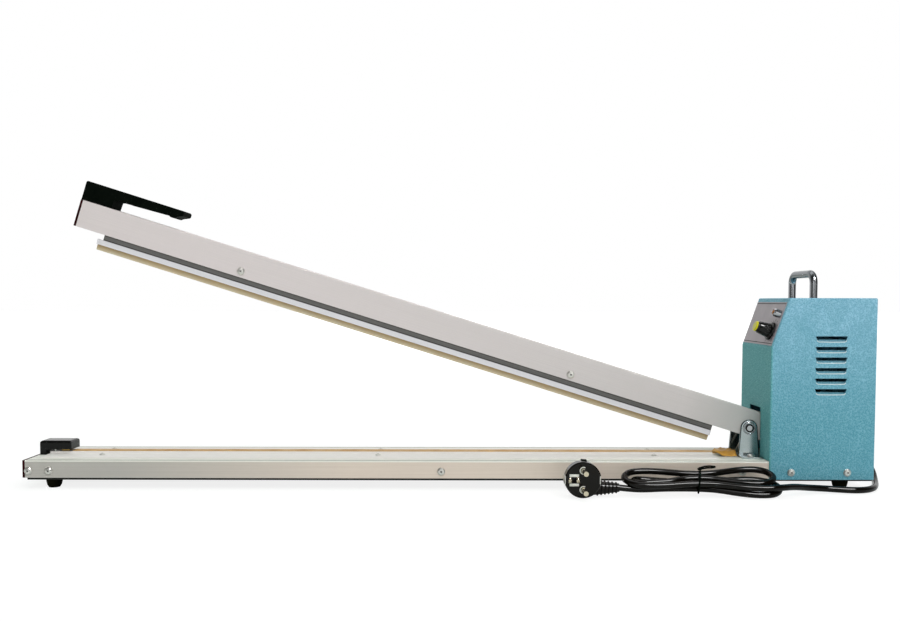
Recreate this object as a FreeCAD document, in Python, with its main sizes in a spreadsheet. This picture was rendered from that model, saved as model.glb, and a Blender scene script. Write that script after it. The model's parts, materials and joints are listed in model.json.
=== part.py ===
"""Impulse heat sealer: a long aluminium base with a heated bed, a sprung press arm and a louvred housing.

Frame: millimetres, +X along the base towards the housing, +Z up, origin on the table under the middle
of the object. The arm is drawn at rest, swung open against its spring.
"""
import FreeCAD, Part
import math
import os
import re
import Sketcher

doc = FreeCAD.newDocument("impulse_sealer")
sheet = doc.addObject("Spreadsheet::Sheet", "Sizes")

SIZES = {
    # Overall, and the folded housing
    "total_length": 876,
    "housing_width": 95,
    "housing_length": 108,
    "housing_height": 186.5,
    "cover_lift": 1.6,
    "sheet": 1.2,
    "cover_fit": 0.3,
    "bend_radius": 1.6,
    "slant_run": 18,
    "slant_rise": 51.3,
    "slot_width": 35.7,
    "slot_headroom": 2.5,
    "louvre_width": 33,
    "louvre_height": 6,
    "louvre_depth": 4,
    "louvre_taper": 2.5,
    "louvre_lip": 2.6,
    "louvre_pitch": 10.8,
    "louvre_count": 6,
    "louvre_inset": 30,
    "louvre_drop": 39,
    # Base
    "foot_height": 9.4,
    "foot_diameter": 16,
    "foot_taper": 2.5,
    "foot_inset": 11.5,
    "foot_left_inset": 28,
    "foot_right_inset": 30,
    "plate_thickness": 2,
    "channel_height": 18,
    "channel_wall": 2,
    "channel_flange": 19,
    "cap_thickness": 2.5,
    "cap_plug_depth": 8,
    "cap_plug_wall": 2,
    "groove_inset": 12.7,
    "groove_width": 1.2,
    "groove_depth": 0.8,
    "bed_width": 12,
    "bed_height": 3.15,
    "bed_inset": 33,
    "insulation_thickness": 0.25,
    "ribbon_width": 3,
    "ribbon_thickness": 0.2,
    "cloth_thickness": 0.3,
    "cloth_lap": 1,
    "strip_width": 24.7,
    "strip_thickness": 1.2,
    "upstand": 1.6,
    "upstand_drop": 0.5,
    "strip_end_gap": 10,
    "seat_gap": 0.05,
    # Terminals of the heating ribbon
    "terminal_cover_length": 33.5,
    "terminal_cover_width": 22,
    "terminal_cover_height": 15,
    "terminal_leg": 6.5,
    "terminal_headroom": 1.7,
    "terminal_length": 12,
    "terminal_width": 12.4,
    "terminal_gap": 1.5,
    "clamp_plate": 1.2,
    "flap_length": 24,
    "flap_width": 30,
    "flap_thickness": 0.5,
    "flap_clear": 1.6,
    # Hinge
    "pivot_setback": 11.5,
    "pivot_rise": 9,
    "pin_diameter": 6,
    "pin_play": 0.05,
    "pin_head": 9,
    "pin_head_height": 2,
    "pin_tail": 3,
    "clip_thickness": 0.8,
    "clip_diameter": 10.5,
    "ear_thickness": 2,
    "ear_radius": 8.7,
    "ear_foot_length": 22,
    "ear_foot_reach": 14,
    "ear_gap": 0.4,
    "open_angle": 17.3,
    "spring_wire": 1.6,
    "spring_radius": 5.4,
    "spring_coils": 4,
    "spring_pitch": 2,
    "spring_foot_x": 8.4,
    "spring_arm_x": 30,
    # Press arm
    "arm_tail": 30,
    "arm_width": 30,
    "arm_height": 28.5,
    "arm_wall": 2,
    "stem_height": 6,
    "stem_width": 18,
    "stem_engagement": 12,
    "flange_width": 21,
    "flange_thickness": 5.5,
    "rubber_width": 12,
    "rubber_thickness": 6,
    "jaw_gap": 0.4,
    "bar_start": 35.5,
    "bar_length": 681,
    "bar_end_gap": 24,
    "stem_setback": 5.5,
    "bar_wall": 2.5,
    "arm_screw_near": 197.2,
    "arm_screw_far": 561.2,
    "arm_screw_rise": 6.5,
    "arm_screw_radius": 2,
    # Press handle
    "handle_length": 107,
    "handle_block": 32.5,
    "handle_height": 20.6,
    "handle_width": 28,
    "handle_skin": 2.6,
    "tongue_gap": 9.5,
    "tongue_tip": 5.5,
    "tongue_tip_length": 10,
    "tongue_taper": 1.6,
    "notch_length": 12,
    "notch_rise": 1.6,
    "nub_length": 8,
    "nub_drop": 1.1,
    "nub_notch": 0.8,
    "handle_screw_radius": 2,
    "handle_screw_depth": 10,
    # Control panel, lamp and timer knob
    "panel_thickness": 0.5,
    "panel_margin": 3,
    "panel_bottom": 1,
    "panel_length": 47,
    "knob_along": 17.4,
    "knob_inset": 16,
    "knob_radius": 7.2,
    "knob_top_radius": 6.2,
    "knob_length": 10.5,
    "knob_skirt_radius": 9.7,
    "knob_skirt": 3,
    "knob_gap": 0.8,
    "knob_flutes": 16,
    "flute_radius": 0.7,
    "cap_radius": 5.4,
    "cap_height": 4.5,
    "shaft_radius": 3,
    "shaft_length": 12,
    "pot_radius": 8.5,
    "pot_depth": 10,
    "bush_radius": 3.6,
    "bush_length": 3,
    "board_length": 26,
    "board_width": 62,
    "board_thickness": 1.6,
    "board_low": 4,
    "board_side": 4,
    "lamp_along": 36.5,
    "lamp_inset": 9,
    "lamp_radius": 4.2,
    "lamp_length": 8.4,
    "lamp_barrel": 3.1,
    "lamp_depth": 14,
    "lens_radius": 3,
    # Carry handle
    "bail_diameter": 8,
    "bail_inset": 17.5,
    "bail_rise": 29.3,
    "bail_bend": 10,
    "bail_back": 59.5,
    "bail_tail": 8,
    "nut_radius": 8,
    "nut_height": 5,
    # Transformer and switch inside the housing
    "core_length": 60,
    "core_height": 50,
    "core_stack": 44,
    "core_leg": 10,
    "core_centre": 20,
    "core_back": 2.5,
    "coil_bulge": 11,
    "coil_gap": 0.3,
    "bolt_radius": 2,
    "bolt_head": 3.6,
    "bolt_inset": 5,
    "switch_length": 28,
    "switch_width": 10.3,
    "switch_height": 16,
    "switch_lift": 5.4,
    "lever_pivot_inset": 3,
    "lever_drop": 1.3,
    "lever_length": 26.2,
    "lever_width": 4,
    "lever_thickness": 0.8,
    "lever_angle": 25.9,
    "lever_pin": 0.7,
    "lug_width": 6,
    "lug_thickness": 1.6,
    "bracket_plate": 1.5,
    "bracket_foot": 12,
    # Screws
    "screw_radius": 1.9,
    "screw_head": 3.9,
    "screw_head_height": 2.4,
    "small_screw_radius": 1.4,
    "small_screw_head": 2.8,
    "small_screw_head_height": 1.7,
    "screw_play": 0.1,
    "side_screw_height": 7.1,
    "side_screw_left": 3.5,
    "side_screw_second": 24.5,
    "side_screw_middle": 428.5,
    "side_screw_right": 27,
    "clamp_screw_left": 59.3,
    "clamp_screw_right": 64.6,
    "clamp_screw_across": 11.4,
    "cover_screw_front": 22.4,
    "cover_screw_back": 28,
    # Mains lead
    "cord_diameter": 6.5,
    "gland_height": 9.1,
    "gland_radius": 6,
    "gland_tip_radius": 4.4,
    "gland_length": 8,
    "gland_neck": 4.8,
    "gland_inner": 12,
    "hank_length": 166,
    "hank_width": 42,
    "hank_left_width": 34,
    "hank_waist": 30,
    "hank_thickness": 12.6,
    "hank_centre_x": 253,
    "hank_clear": 23.3,
    "hank_lift": 13.6,
    "hank_lean": 21,
    "tie_width": 4,
    "tie_thickness": 1,
    "plug_radius": 18,
    "plug_depth": 22,
    "plug_x": 133,
    "plug_clear": 20.5,
    "plug_float": 0.3,
    "plug_relief_radius": 6,
    "plug_relief_drop": 9.4,
    "pin_spacing": 19,
    "plug_pin_radius": 2.4,
    "plug_pin_length": 19,
    "earth_radius": 2.4,
    "contact_thickness": 0.8,
    "contact_width": 8,
}

DERIVED = {
    "half_length": "total_length / 2",
    "channel_left": "cap_thickness - half_length",
    "channel_right": "half_length - sheet - cover_fit",
    "housing_front": "half_length - housing_length",
    "half_width": "housing_width / 2",
    "base_half": "half_width - sheet - cover_fit",
    "channel_bottom": "foot_height + plate_thickness",
    "channel_top": "channel_bottom + channel_height",
    "bed_top": "channel_top + bed_height",
    "ribbon_bottom": "bed_top + insulation_thickness",
    "cloth_bottom": "ribbon_bottom + ribbon_thickness",
    "cloth_top": "cloth_bottom + cloth_thickness",
    "bed_half": "bed_width / 2",
    "strip_inner": "bed_half + cloth_thickness + 2 * seat_gap + 0.2",
    "pivot_x": "housing_front - pivot_setback",
    "stem_bottom": "-pivot_rise - stem_height",
    "flange_bottom": "stem_bottom - flange_thickness",
    "rubber_bottom": "flange_bottom - rubber_thickness",
    "pivot_z": "cloth_top + jaw_gap - rubber_bottom",
    "arm_top": "arm_height - pivot_rise",
    "arm_half": "arm_width / 2",
    "ear_inner": "arm_half + ear_gap",
    "ear_outer": "ear_inner + ear_thickness",
    "bed_left": "channel_left + bed_inset",
    "bed_right": "pivot_x - ear_foot_length / 2 - terminal_length - 2 * terminal_gap",
    "strip_left": "channel_left + strip_end_gap",
    "strip_right": "bed_right - strip_end_gap",
    "terminal_left_x": "bed_left - terminal_gap - terminal_length",
    "terminal_right_x": "bed_right + terminal_gap",
    "cover_bottom": "foot_height + cover_lift",
    "housing_top": "cover_bottom + housing_height",
    "knee_z": "housing_top - slant_rise",
    "slant_angle": "atan(slant_run / slant_rise)",
    "slope_turn": "slant_angle - 90 deg",
    "slot_top": "pivot_z + arm_top + slot_headroom",
    "core_right": "channel_right - core_back",
    "core_left": "core_right - core_length",
    "core_top": "channel_top + core_height",
    "switch_left": "core_left - 4",
    "switch_bottom": "core_top + switch_lift",
    "lever_x": "switch_left + lever_pivot_inset",
    "lever_z": "switch_bottom - lever_drop",
    "bail_x": "half_length - bail_back",
    "bail_half_span": "half_width - bail_inset",
    "knob_across": "half_width - knob_inset",
    "lamp_across": "half_width - lamp_inset",
    "arm_reach": "bar_start + bar_length + bar_end_gap",
    "gland_z": "channel_bottom + gland_height",
    "hank_y": "-half_width - hank_clear",
    "plug_y": "-half_width - plug_clear",
    "plug_z": "plug_radius + plug_float",
    "plug_relief_x": "plug_x + plug_radius * 0.6",
    "plug_relief_length": "hank_centre_x - hank_length / 2 - plug_relief_x",
    "side_screw_z": "channel_bottom + side_screw_height",
}

for row, (name, number) in enumerate(SIZES.items(), start=1):
    sheet.set(f"A{row}", name)
    sheet.set(f"B{row}", str(number))
    sheet.setAlias(f"B{row}", name)
for row, (name, formula) in enumerate(DERIVED.items(), start=1):
    sheet.set(f"D{row}", name)
    sheet.set(f"E{row}", "=" + formula)
    sheet.setAlias(f"E{row}", name)
doc.recompute()

ALIASES = set(SIZES) | set(DERIVED)
X_AXIS = FreeCAD.Vector(1, 0, 0)
Y_AXIS = FreeCAD.Vector(0, 1, 0)
Z_AXIS = FreeCAD.Vector(0, 0, 1)
UPRIGHT = (Z_AXIS, "0 deg")
TOWARDS_FRONT = (X_AXIS, "90 deg")
TOWARDS_BACK = (X_AXIS, "-90 deg")
TOWARDS_RIGHT = (Y_AXIS, "90 deg")
DOWNWARDS = (X_AXIS, "180 deg")
OFF_PANEL = (Y_AXIS, "slope_turn")
ARM_SWING = (Y_AXIS, "open_angle * 1 deg")
subparts = []


def value(name):
    """A size from the sheet as a plain number."""
    held = sheet.get(name)
    return float(getattr(held, "Value", held))


def bind(thing, prop, formula):
    """Tie a property to a formula of the sheet's names."""
    tied = re.sub(r"[a-z][a-z_]*", lambda m: "Sizes." + m[0] if m[0] in ALIASES else m[0], str(formula))
    thing.setExpression(prop, tied)


def place(thing, at=("0", "0", "0"), turn=UPRIGHT):
    """Bind a placement: a point, then a turn about one axis."""
    axis, angle = turn
    thing.Placement = FreeCAD.Placement(FreeCAD.Vector(), FreeCAD.Rotation(axis, 1))
    for letter, formula in zip("xyz", at):
        bind(thing, f"Placement.Base.{letter}", formula)
    bind(thing, "Placement.Rotation.Angle", angle)
    return thing


def on_panel(thing):
    """Place a piece in the slanted panel's frame: x up the slope, y across, z out of the face."""
    return place(thing, ("housing_front", "0", "knee_z"), OFF_PANEL)


def on_arm(thing):
    """Place a piece drawn about the pivot onto the open arm."""
    return place(thing, ("pivot_x", "0", "pivot_z"), ARM_SWING)


def keep(thing, label):
    """Name a finished sub-part."""
    thing.Label = label
    subparts.append(thing)
    return thing


def new_body(name):
    return doc.addObject("PartDesign::Body", name + "_body")


def sketch_on(body, role, offset="0"):
    """A sketch on one of the body's own planes, moved along the plane's normal."""
    sketch = body.newObject("Sketcher::SketchObject", body.Name + "_sketch")
    planes = [feature for feature in body.Origin.OriginFeatures if feature.Role == role]
    sketch.AttachmentSupport = [(planes[0], "")]
    sketch.MapMode = "FlatFace"
    bind(sketch, "AttachmentOffset.Base.z", offset)
    return sketch


def fix_point(sketch, geometry, end, x, y):
    """Hold one point of a sketch at two formulas."""
    for kind, formula in (("DistanceX", x), ("DistanceY", y)):
        index = sketch.addConstraint(Sketcher.Constraint(kind, -1, 1, geometry, end, 1.0))
        bind(sketch, f"Constraints[{index}]", formula)


def outline(sketch, points):
    """A closed outline of straight edges through points given as formulas."""
    first = sketch.GeometryCount
    count = len(points)
    corners = [FreeCAD.Vector(math.cos(2 * math.pi * k / count), math.sin(2 * math.pi * k / count), 0)
               for k in range(count)]
    for k in range(count):
        sketch.addGeometry(Part.LineSegment(corners[k], corners[(k + 1) % count]))
    for k in range(count):
        sketch.addConstraint(Sketcher.Constraint("Coincident", first + k, 2, first + (k + 1) % count, 1))
    for k, (x, y) in enumerate(points):
        fix_point(sketch, first + k, 1, x, y)


def rectangle(sketch, x0, x1, y0, y1):
    outline(sketch, [(x0, y0), (x1, y0), (x1, y1), (x0, y1)])


def disc(sketch, x, y, radius):
    """A circle whose centre and radius are formulas."""
    index = sketch.addGeometry(Part.Circle(FreeCAD.Vector(), Z_AXIS, 1.0))
    fix_point(sketch, index, 3, x, y)
    held = sketch.addConstraint(Sketcher.Constraint("Radius", index, 1.0))
    bind(sketch, f"Constraints[{held}]", radius)


def pad(body, sketch, length, symmetric=False):
    feature = body.newObject("PartDesign::Pad", body.Name + "_pad")
    feature.Profile = sketch
    feature.Midplane = symmetric
    bind(feature, "Length", length)
    return feature


def pocket(body, sketch, length, symmetric=False, reverse=False):
    """Cut a sketch into the body, and make sure that it removed something."""
    doc.recompute()
    before = body.Shape.Volume
    feature = body.newObject("PartDesign::Pocket", body.Name + "_pocket")
    feature.Profile = sketch
    feature.Midplane = symmetric
    feature.Reversed = reverse
    bind(feature, "Length", length)
    doc.recompute()
    if body.Shape.Volume > before - 1e-6:
        raise RuntimeError(f"{feature.Label} cut nothing")
    return feature


def fillet(body, radius, chosen):
    """Round the edges of the body's tip that a test picks."""
    doc.recompute()
    base = body.Tip
    names = [f"Edge{k}" for k, edge in enumerate(base.Shape.Edges, start=1) if chosen(edge)]
    feature = body.newObject("PartDesign::Fillet", body.Name + "_fillet")
    feature.Base = (base, names)
    bind(feature, "Radius", radius)
    return feature


def along(edge, axis):
    """True for a straight edge that runs along an axis."""
    if edge.Curve.TypeId != "Part::GeomLine":
        return False
    return abs(abs(edge.Curve.Direction.dot(axis)) - 1) < 1e-6


def middle(edge):
    return edge.CenterOfMass


def bar(name, points, start, length):
    """A body of constant section along X: points are (y, z)."""
    body = new_body(name)
    sketch = sketch_on(body, "YZ_Plane", start)
    outline(sketch, points)
    pad(body, sketch, length)
    return body


def side_plate(name, points, width):
    """A body of constant side view, centred on Y: points are (x, z)."""
    body = new_body(name)
    sketch = sketch_on(body, "XZ_Plane")
    outline(sketch, points)
    pad(body, sketch, width, symmetric=True)
    return body


def block(name, x0, y0, z0, length, width, height):
    """A plain box by its low corner and three sizes."""
    thing = doc.addObject("Part::Box", name)
    bind(thing, "Length", length)
    bind(thing, "Width", width)
    bind(thing, "Height", height)
    return place(thing, (x0, y0, z0))


def rod(name, radius, length, at, turn=UPRIGHT):
    thing = doc.addObject("Part::Cylinder", name)
    bind(thing, "Radius", radius)
    bind(thing, "Height", length)
    return place(thing, at, turn)


def gather(name, things):
    """Several separate solids as one group."""
    group = doc.addObject("Part::Compound", name + "_group")
    group.Links = things
    return group


def cut(name, base, tools):
    """Take tools away from a piece, and make sure that they removed something."""
    result = doc.addObject("Part::Cut", name + "_cut")
    result.Base = base
    result.Tool = gather(name + "_tools", tools)
    doc.recompute()
    if result.Shape.Volume > base.Shape.Volume - 1e-6:
        raise RuntimeError(f"{name} lost nothing")
    return result


def fuse(name, things):
    result = doc.addObject("Part::MultiFuse", name + "_fuse")
    result.Shapes = things
    return result


def turned(name, points):
    """A body turned about its own Z axis: points are (radius, height)."""
    body = new_body(name)
    sketch = sketch_on(body, "XZ_Plane")
    outline(sketch, points)
    feature = body.newObject("PartDesign::Revolution", body.Name + "_turn")
    feature.Profile = sketch
    feature.ReferenceAxis = (sketch, ["V_Axis"])
    feature.Angle = 360
    return body


def screw(name, radius, head, head_height, length):
    """A pan-head screw that stands on its seat: head above, shank below."""
    return turned(name, [
        ("0", f"-({length})"), (radius, f"-({length})"), (radius, "0"), (head, "0"),
        (head, f"{head_height} * 0.45"),
        (f"{head} * 0.72", f"{head_height} * 0.9"), (f"{head} * 0.3", head_height), ("0", head_height)])


def copies(name, master, places):
    """Copies of one fastener as a group of separate solids."""
    links = []
    for at, turn in places:
        link = doc.addObject("App::Link", name + "_copy")
        link.LinkedObject = master
        links.append(place(link, at, turn))
    return gather(name, links)


def base_channel():
    """The extruded base: a C section with in-turned flanges and a groove along each top edge."""
    near = [("-base_half", "channel_bottom"), ("-base_half", "channel_top"),
            ("groove_inset - base_half", "channel_top"),
            ("groove_inset - base_half", "channel_top - groove_depth"),
            ("groove_inset + groove_width - base_half", "channel_top - groove_depth"),
            ("groove_inset + groove_width - base_half", "channel_top")]
    inside = [("base_half - channel_flange", "channel_bottom"),
              ("base_half - channel_flange", "channel_bottom + channel_wall"),
              ("base_half - channel_wall", "channel_bottom + channel_wall"),
              ("base_half - channel_wall", "channel_top - channel_wall")]

    def mirrored(points):
        return [(f"-({y})", z) for y, z in reversed(points)]

    body = bar("base_channel", near + mirrored(near) + inside + mirrored(inside),
               "channel_left", "channel_right - channel_left")
    fillet(body, "channel_wall * 0.4",
           lambda edge: along(edge, X_AXIS) and abs(abs(middle(edge).y) - value("base_half")) < 1e-6
           and abs(middle(edge).z - value("channel_top")) < 1e-6)
    drills = []
    for x in SIDE_SCREWS + COVER_SCREWS:
        drills.append(rod("side_drill", "screw_radius + screw_play", "2 * base_half + 2",
                          (x, "base_half + 1", "side_screw_z"), TOWARDS_FRONT))
    for x, y, radius in TOP_DRILLS:
        drills.append(rod("top_drill", f"{radius} + screw_play", "channel_wall + 2",
                          (x, y, "channel_top - channel_wall - 1")))
    for x, y in FEET.values():
        drills.append(rod("foot_drill", "small_screw_radius + screw_play", "channel_wall + 2",
                          (x, y, "channel_bottom - 1")))
    return keep(cut("base_channel", body, drills), "base_channel")


def base_bottom_plate():
    """The flat plate that closes the channel from below."""
    plate = block("bottom_plate", "channel_left + cap_thickness", "-base_half", "foot_height",
                  "channel_right - channel_left - cap_thickness", "2 * base_half", "plate_thickness")
    drills = [rod("plate_drill", "small_screw_radius + screw_play", "plate_thickness + 2",
                  (x, y, "foot_height - 1")) for x, y in FEET.values()]
    keep(cut("bottom_plate", plate, drills), "base_bottom_plate")


def end_plug(name, start, half, low, high, wall, thickness, depth, plug_wall):
    """A moulded end cap: a face plate, and a rim that plugs into the open end of a channel to its right."""
    body = new_body(name)
    face = sketch_on(body, "YZ_Plane", start)
    rectangle(face, f"-({half})", half, low, high)
    pad(body, face, thickness)
    rim = sketch_on(body, "YZ_Plane", f"{start} + {thickness}")
    fit = f"({wall} + seat_gap * 3)"
    rectangle(rim, f"{fit} - ({half})", f"{half} - {fit}", f"{low} + {fit}", f"{high} - {fit}")
    rectangle(rim, f"{fit} + {plug_wall} - ({half})", f"{half} - {fit} - {plug_wall}",
              f"{low} + {fit} + {plug_wall}", f"{high} - {fit} - {plug_wall}")
    pad(body, rim, depth)
    return body


def base_end_cap():
    body = end_plug("base_cap", "-half_length", "base_half", "channel_bottom", "channel_top", "channel_wall",
                    "cap_thickness", "cap_plug_depth", "cap_plug_wall")
    drills = [rod("cap_drill", "screw_radius + screw_play", "2 * base_half",
                  (SIDE_SCREWS[0], "base_half", "side_screw_z"), TOWARDS_FRONT)]
    keep(cut("base_cap", body, drills), "base_end_cap")


def feet():
    """Four turned rubber feet, each with a countersunk hole for its screw."""
    for label, (x, y) in FEET.items():
        foot = turned(label, [
            ("small_screw_radius + screw_play", "small_screw_head_height + 1"),
            ("small_screw_head + screw_play", "small_screw_head_height + 1"),
            ("small_screw_head + screw_play", "0"), ("foot_diameter / 2 - foot_taper", "0"),
            ("foot_diameter / 2 - foot_taper / 3", "foot_height * 0.3"),
            ("foot_diameter / 2", "foot_height * 0.7"),
            ("foot_diameter / 2", "foot_height"),
            ("small_screw_radius + screw_play", "foot_height")])
        keep(place(foot, (x, y, "0")), label)
    master = screw("foot_screw", "small_screw_radius", "small_screw_head", "small_screw_head_height",
                   "foot_height - small_screw_head_height - 1 + plate_thickness + channel_wall")
    places = [((x, y, "small_screw_head_height + 1"), DOWNWARDS) for x, y in FEET.values()]
    keep(copies("foot_screws", master, places), "foot_screws")


def heater():
    """The bed bar with its insulation, the ribbon that heats, and the non-stick cloth over both."""
    length = "bed_right - bed_left"
    keep(bar("bed_bar", [("-bed_half", "channel_top"), ("-bed_half", "bed_top - 0.5"),
                         ("0.5 - bed_half", "bed_top"),
                         ("bed_half - 0.5", "bed_top"), ("bed_half", "bed_top - 0.5"),
                         ("bed_half", "channel_top")],
             "bed_left", length), "bed_bar")
    keep(block("insulation_strip", "bed_left", "1 - bed_half", "bed_top", length,
               "bed_width - 2", "insulation_thickness"), "insulation_strip")
    keep(block("heating_ribbon", "terminal_left_x + 1", "-ribbon_width / 2", "ribbon_bottom",
               "terminal_right_x + terminal_length - terminal_left_x - 2", "ribbon_width",
               "ribbon_thickness"),
         "heating_ribbon")
    inner = "bed_half + seat_gap"
    outer = f"({inner} + cloth_thickness)"
    keep(bar("ptfe_cover", [
        (f"-{outer}", "bed_top - cloth_lap"), (f"-{outer}", "cloth_top - cloth_lap"),
        (f"0.8 - {outer}", "cloth_top"),
        (f"{outer} - 0.8", "cloth_top"), (outer, "cloth_top - cloth_lap"), (outer, "bed_top - cloth_lap"),
        (inner, "bed_top - cloth_lap"), (inner, "cloth_bottom - cloth_lap"),
        (f"{inner} - 0.8", "cloth_bottom"),
        (f"0.8 - ({inner})", "cloth_bottom"), (f"-({inner})", "cloth_bottom - cloth_lap"),
        (f"-({inner})", "bed_top - cloth_lap")], "bed_left", length), "ptfe_cover")
    side = "flap_width / 2"
    hem = "flap_width / 2 - 2"
    lying = "channel_top + flap_thickness"
    flap = [(f"-{side}", lying), (f"-({hem})", lying), ("-flap_width * 0.3", "cloth_top + flap_clear"),
            ("flap_width * 0.3", "cloth_top + flap_clear"), (hem, lying), (side, lying)]
    lower = [(y, f"{z} - flap_thickness") for y, z in reversed(flap)]
    keep(bar("ptfe_end_flap", flap + lower, "strip_right + 0.6", "flap_length"), "ptfe_end_flap")


def clamp_strips():
    """The two angle strips beside the bed: an upstand against the cloth, and a leg held by small screws."""
    for label, side in (("clamp_strip_front", "-1"), ("clamp_strip_rear", "1")):
        inner = f"{side} * strip_inner"
        outer = f"{side} * (strip_inner + strip_width)"
        low = "channel_top"
        high = "channel_top + strip_thickness"
        rise = "cloth_top - upstand_drop"
        crest = f"{side} * (strip_inner + upstand)"
        strip = bar(label, [(inner, low), (inner, rise), (crest, rise), (crest, high),
                            (f"{outer} - {side} * strip_thickness / 2", high),
                            (outer, f"{high} - strip_thickness / 2"), (outer, low)],
                    "strip_left", "strip_right - strip_left")
        drills = [rod("strip_drill", "small_screw_radius + screw_play", "strip_thickness + 2",
                      (x, f"{side} * {CLAMP_Y}", "channel_top - 1")) for x in CLAMP_SCREWS]
        keep(cut(label, strip, drills), label)
    master = screw("clamp_screw", "small_screw_radius", "small_screw_head", "small_screw_head_height",
                   "strip_thickness + channel_wall")
    places = [((x, f"{side} * {CLAMP_Y}", "channel_top + strip_thickness"), UPRIGHT)
              for x in CLAMP_SCREWS for side in ("-1", "1")]
    keep(copies("clamp_screws", master, places), "clamp_screws")


def terminals():
    """The ribbon's end blocks and their clamp plates, and the moulding over the left one."""
    plates = []
    for side in ("left", "right"):
        x = f"terminal_{side}_x"
        keep(block("terminal_block", x, "-terminal_width / 2", "channel_top", "terminal_length",
                   "terminal_width", "ribbon_bottom - channel_top"), f"terminal_block_{side}")
        plates.append(block("clamp_plate", f"{x} + 2", "-terminal_width / 2 + 1", "cloth_bottom",
                            "terminal_length - 4", "terminal_width - 2", "clamp_plate"))
    keep(gather("terminal_clamps", plates), "terminal_clamps")
    left = "channel_left + 0.5"
    right = "channel_left + 0.5 + terminal_cover_length"
    underside = "cloth_top + terminal_headroom"
    top = "channel_top + terminal_cover_height"
    cover = side_plate("terminal_cover", [
        (left, "channel_top"), (left, top), (right, top), (right, underside),
        (f"{left} + terminal_leg", underside), (f"{left} + terminal_leg", "channel_top")],
        "terminal_cover_width")
    fillet(cover, "terminal_leg * 0.4", lambda edge: abs(middle(edge).z - value("channel_top")
                                                         - value("terminal_cover_height")) < 1e-6)
    keep(cover, "terminal_cover")


def hinge():
    """Two eared brackets, the pin through them with its clip, and the torsion spring that lifts the arm."""
    half_foot = "ear_foot_length / 2"
    for label, side, plane_offset in (("hinge_bracket_front", "-1", "ear_inner"),
                                      ("hinge_bracket_rear", "1", "-ear_outer")):
        body = new_body(label)
        ear = sketch_on(body, "XZ_Plane", plane_offset)
        outline(ear, [(f"pivot_x - {half_foot}", "channel_top"), (f"pivot_x + {half_foot}", "channel_top"),
                      ("pivot_x + ear_radius", "pivot_z"), ("pivot_x - ear_radius", "pivot_z")])
        pad(body, ear, "ear_thickness")
        crown = sketch_on(body, "XZ_Plane", plane_offset)
        disc(crown, "pivot_x", "pivot_z", "ear_radius")
        pad(body, crown, "ear_thickness")
        foot = sketch_on(body, "XY_Plane", "channel_top")
        low, high = (("-ear_outer - ear_foot_reach", "-ear_inner") if side == "-1"
                     else ("ear_inner", "ear_outer + ear_foot_reach"))
        rectangle(foot, f"pivot_x - {half_foot}", f"pivot_x + {half_foot}", low, high)
        pad(body, foot, "ear_thickness")
        drills = [rod("ear_bore", "pin_diameter / 2 + seat_gap", "2 * ear_outer + 2",
                      ("pivot_x", "ear_outer + 1", "pivot_z"), TOWARDS_FRONT),
                  rod("ear_drill", "screw_radius + screw_play", "ear_thickness + 2",
                      ("pivot_x", f"{side} * {BRACKET_Y}", "channel_top - 1"))]
        keep(cut(label, body, drills), label)
    master = screw("bracket_screw", "screw_radius", "screw_head", "screw_head_height",
                   "ear_thickness + channel_wall")
    places = [(("pivot_x", f"{side} * {BRACKET_Y}", "channel_top + ear_thickness"),
               UPRIGHT) for side in ("-1", "1")]
    keep(copies("bracket_screws", master, places), "bracket_screws")
    pin = turned("hinge_pin", [
        ("0", "-2 * ear_outer - pin_tail"), ("pin_diameter / 2", "-2 * ear_outer - pin_tail"),
        ("pin_diameter / 2", "0"), ("pin_head / 2", "0"), ("pin_head / 2", "pin_head_height * 0.4"),
        ("pin_head / 2 - 1.2", "pin_head_height"), ("0", "pin_head_height")])
    keep(place(pin, ("pivot_x", "-ear_outer", "pivot_z"), TOWARDS_FRONT), "hinge_pin")
    clip = turned("pin_clip", [
        ("pin_diameter / 2 + seat_gap", "0"), ("clip_diameter / 2", "0"),
        ("clip_diameter / 2", "clip_thickness"),
        ("pin_diameter / 2 + seat_gap", "clip_thickness")])
    keep(place(clip, ("pivot_x", "ear_outer", "pivot_z"), TOWARDS_BACK), "pin_clip")
    return_spring()


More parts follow.
